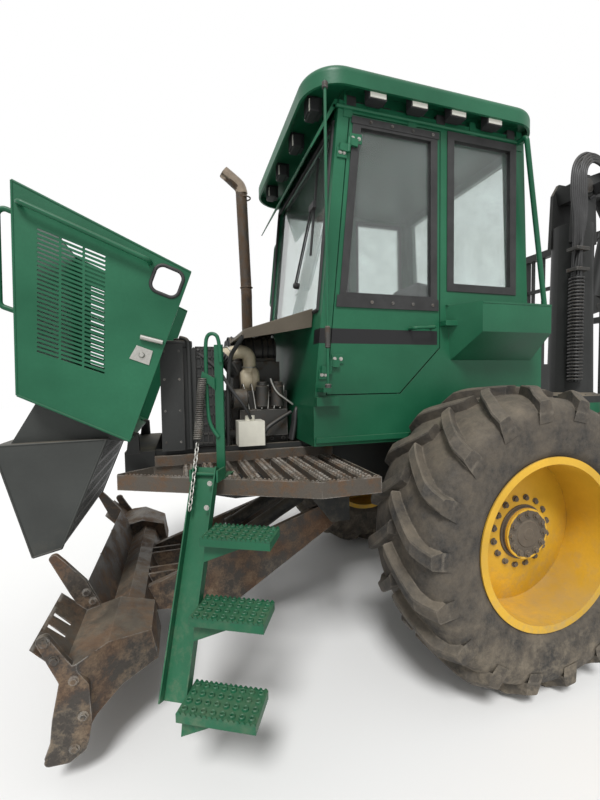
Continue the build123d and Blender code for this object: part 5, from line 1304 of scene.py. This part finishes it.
def frameHoses():
    # loops between the two frames beside the middle joint, and fittings on the rear box
    fronts, rears = [], []
    for index, y in enumerate((0.16, 0.195, 0.23, -0.16, -0.195)):
        top = at(-1.2, y * 1.05, 1.235 + 0.015 * index)
        ahead, behind = at(-1.12, y * 1.05, 1.235 + 0.015 * index), at(-1.28, y * 1.05, 1.228 + 0.015 * index)
        fronts.append(tubeMesh("jointHose", [at(-0.85, y, 1.12), at(-0.96, y, 1.2 + 0.012 * index), ahead, top],
                               0.013))
        rears.append(tubeMesh("jointHose", [top, behind, at(-1.38, y, 1.18), at(-1.5, y, 1.09)], 0.013))
    front = pieceFrom("jointHosesFront", fronts, "hose", "middle_joint", smooth=True)
    rear = pieceFrom("jointHosesRear", rears, "hose", "middle_joint", smooth=True)
    bendAcross(front)
    bendAcross(rear)
    lids = [boxMesh("boxLidRear", at(-0.846, -0.336, 1.772), at(-0.6, 0.326, 1.79)),
            boxMesh("boxLidSmall", at(-0.786, 0.334, 1.952), at(-0.6, 0.566, 1.97)),
            drum("tankNeck", at(-0.7, 0.45, 1.968), at(-0.7, 0.45, 2.01), 0.04, 0.006)]
    pieceFrom("rearBoxLids", lids, "dark")
    boltPiece("rearBoxBolts", [(at(x, y, 1.79), upright) for x in (-0.82, -0.63) for y in (-0.3, 0.0, 0.29)],
              radius=0.009, height=0.006)
    print("frame hoses made")


cabFittings()
bladeFittings()
frameHoses()


# Crane: hose bundles with their wrap, lamp, and fittings of boom, stick and grapple

crane = {"bundle": (-1.61, 0.16), "hoseRadius": 0.0125, "hoses": 8, "boomPivot": (-1.75, 3.4),
         "lift": math.radians(15)}


def onBoom(u, y, v):
    # along the boom from its pivot, v above its middle line
    way = Vector((-math.cos(crane["lift"]), 0, math.sin(crane["lift"])))
    up = Vector((math.sin(crane["lift"]), 0, math.cos(crane["lift"])))
    return at(crane["boomPivot"][0], y, crane["boomPivot"][1]) + way * u + up * v


def craneHoses():
    x, y = crane["bundle"]
    loops = []
    for index in range(crane["hoses"]):
        fan = index - (crane["hoses"] - 1) / 2
        c, s = circle(crane["hoses"])[index]
        startX, startY = x + 0.03 * c, y + 0.03 * s
        reach = 3.56 + 0.02 * (index % 4)
        loops.append(tubeMesh("craneHose", [
            at(startX, startY, 1.64), at(startX, startY, 2.3), at(startX + 0.01, startY + 0.01, 2.7),
            at(x + 0.02 * fan, y + 0.03, 3.05), at(x + 0.026 * fan + 0.02, y + 0.02, 3.33),
            at(x - 0.01 + 0.018 * fan, y + 0.005, reach), at(x - 0.15 + 0.012 * fan, 0.14, reach + 0.06),
        ], crane["hoseRadius"]))
    column = pieceFrom("craneHoses", loops, "hose", "crane_pillar", smooth=True)
    bendAcross(column)
    overs = []
    for index in range(crane["hoses"]):
        fan = index - (crane["hoses"] - 1) / 2
        reach, layer = 3.56 + 0.02 * (index % 4), index % 5
        overs.append(tubeMesh("boomHose", [
            at(x - 0.15 + 0.012 * fan, 0.14, reach + 0.06), at(x - 0.26 + 0.012 * fan, 0.142, reach + 0.075),
            onBoom(0.32, 0.128, 0.13 - 0.02 * layer), onBoom(0.56, 0.122, 0.08 - 0.024 * layer),
            onBoom(1.1, 0.118, 0.07 - 0.026 * layer), onBoom(2.42, 0.118, 0.06 - 0.026 * layer),
        ], crane["hoseRadius"]))
    over = pieceFrom("boomHoses", overs, "hose", "boom", smooth=True)
    bendAcross(over)
    wrap = ringsOn("bundleWrap", [at(x, y, 1.66), at(x + 0.004, y, 2.1), at(x, y, 2.56)], 0.03, 0.104, 0.104,
                   0.011, "hose")
    pieceFrom("bundleWrap", wrap, "hose", "crane_pillar", smooth=True)
    clamps = [boxMesh("bundleClamp", at(x - 0.075, y - 0.04, z), at(x + 0.075, y + 0.062, z + 0.03), 0.004)
              for z in (2.8, 2.62)]
    clamps += [boxMesh("clampFoot", at(x - 0.11, 0.06, z), at(x - 0.02, y - 0.03, z + 0.03), 0.003)
               for z in (2.8, 1.9)]
    boomClamps = []
    for u in (0.9, 1.6, 2.3):
        low, high = onBoom(u - 0.02, 0.091, -0.06), onBoom(u + 0.02, 0.14, 0.085)
        lows = Vector((min(low.x, high.x), low.y, min(low.z, high.z)))
        highs = Vector((max(low.x, high.x), high.y, max(low.z, high.z)))
        boomClamps.append(boxMesh("boomClamp", lows, highs, 0.004))
    pieceFrom("bundleClamps", clamps, "iron", "crane_pillar")
    pieceFrom("boomClamps", boomClamps, "iron", "boom")
    print("crane hoses made")


def craneFittings():
    lamp = [boxMesh("craneLamp", at(-1.93, 0.15, 3.33), at(-1.8, 0.29, 3.43), 0.014,
                    turn=Matrix.Rotation(0.25, 3, "Y")),
            tubeMesh("lampStay", [at(-1.8, 0.125, 3.3), at(-1.85, 0.19, 3.345)], 0.009, straight=True)]
    pieceFrom("craneLamp", lamp, "plastic", "crane_pillar")
    pins = [drum("pivotCap", at(-1.75, side * 0.141, 3.4), at(-1.75, side * 0.153, 3.4), 0.064, 0.006)
            for side in (1, -1)]
    pieceFrom("pivotCaps", pins, "iron", "crane_pillar")
    marks = [(at(-1.75 + 0.22 * c, 0.22 * s, 1.51), upright) for c, s in circle(20)]
    boltPiece("slewBolts", marks, "crane_pillar", radius=0.014, height=0.014, finish="iron")
    gateMarks = [(at(-2.41, y, z), (1, 0, 0)) for y in (-0.37, 0.37) for z in (1.29, 1.7, 2.28, 3.16)]
    boltPiece("gateBolts", gateMarks, "rear_frame", radius=0.012, height=0.009, finish="iron")
    bands = [boxMesh("stakeCollar", at(x - 0.078, y - 0.078, 1.26), at(x + 0.078, y + 0.078, 1.33), 0.006)
             for x in (-3.28, -6.15) for y in (1.1, -1.1)]
    pieceFrom("stakeCollars", bands, "dark", "rear_frame")
    for side, name, body in ((1, "bogieCapLeft", "bogie_left"), (-1, "bogieCapRight", "bogie_right")):
        cap = drum("bogieCap", at(-4.7, side * 0.702, 0.72), at(-4.7, side * 0.745, 0.72), 0.11, 0.012)
        pieceFrom(name, [cap], "iron", body)
    print("crane fittings made")


craneHoses()
craneFittings()


# Floor, light and camera

studio = {"floorSize": 60.0, "floorColour": (0.82, 0.82, 0.81), "sunStrength": 2.6, "sunAngle": 0.3, "sky": 0.62}


def paleFloor():
    mesh = bpy.data.meshes.new("floor")
    half = studio["floorSize"] / 2
    mesh.from_pydata([(-half, -half, 0), (half, -half, 0), (half, half, 0), (-half, half, 0)], [], [(0, 1, 2, 3)])
    material = bpy.data.materials.new("paleFloor")
    material.use_nodes = True
    shader = material.node_tree.nodes["Principled BSDF"]
    shader.inputs["Base Color"].default_value = (*studio["floorColour"], 1.0)
    shader.inputs["Roughness"].default_value = 0.9
    mesh.materials.append(material)
    inScene("floor", mesh)


def softLight():
    world = bpy.data.worlds.new("studio")
    bpy.context.scene.world = world
    world.use_nodes = True
    tree = world.node_tree
    background = tree.nodes["Background"]
    seen = add(tree, "ShaderNodeLightPath", "Is Camera Ray")
    for ray in ("Is Glossy Ray", "Is Transmission Ray"):
        seen = maths(tree, "MAXIMUM", seen, add(tree, "ShaderNodeLightPath", ray))
    feed(tree, background.inputs["Strength"], mapRange(tree, seen, 0.0, 1.0, studio["sky"], 1.0))
    background.inputs["Color"].default_value = (1.0, 1.0, 1.0, 1.0)
    sun = bpy.data.lights.new("sun", "SUN")
    sun.energy = studio["sunStrength"]
    sun.angle = studio["sunAngle"]
    inScene("sun", sun).rotation_euler = Vector((0.25, 0.55, 0.8)).to_track_quat("Z", "Y").to_euler()


view = {"place": (1.808, 2.811, 1.678), "yaw": 17.03, "pitch": -2.73, "roll": -0.84, "focalPixels": 389.7,
        "imageHeight": 800}


def photoCamera():
    # looks towards -Y, turned by yaw, pitch and roll, as the photograph does
    yaw, pitch, roll = (math.radians(view[key]) for key in ("yaw", "pitch", "roll"))
    ahead = Vector((-math.sin(yaw) * math.cos(pitch), -math.cos(yaw) * math.cos(pitch), math.sin(pitch)))
    right = ahead.cross(upright).normalized()
    up = right.cross(ahead)
    tiltedRight = right * math.cos(roll) + up * math.sin(roll)
    tiltedUp = up * math.cos(roll) - right * math.sin(roll)
    camera = bpy.data.cameras.new("photoView")
    camera.sensor_width = 36.0
    camera.lens = view["focalPixels"] * camera.sensor_width / view["imageHeight"]
    holder = inScene("photoView", camera)
    holder.matrix_world = Matrix((
        (*tiltedRight, 0.0), (*tiltedUp, 0.0), (*(-ahead), 0.0), (0.0, 0.0, 0.0, 1.0),
    )).transposed()
    holder.location = at(*view["place"])
    bpy.context.scene.camera = holder


paleFloor()
softLight()
photoCamera()
bpy.context.scene.view_settings.view_transform = "Standard"
print("floor, light and camera made")
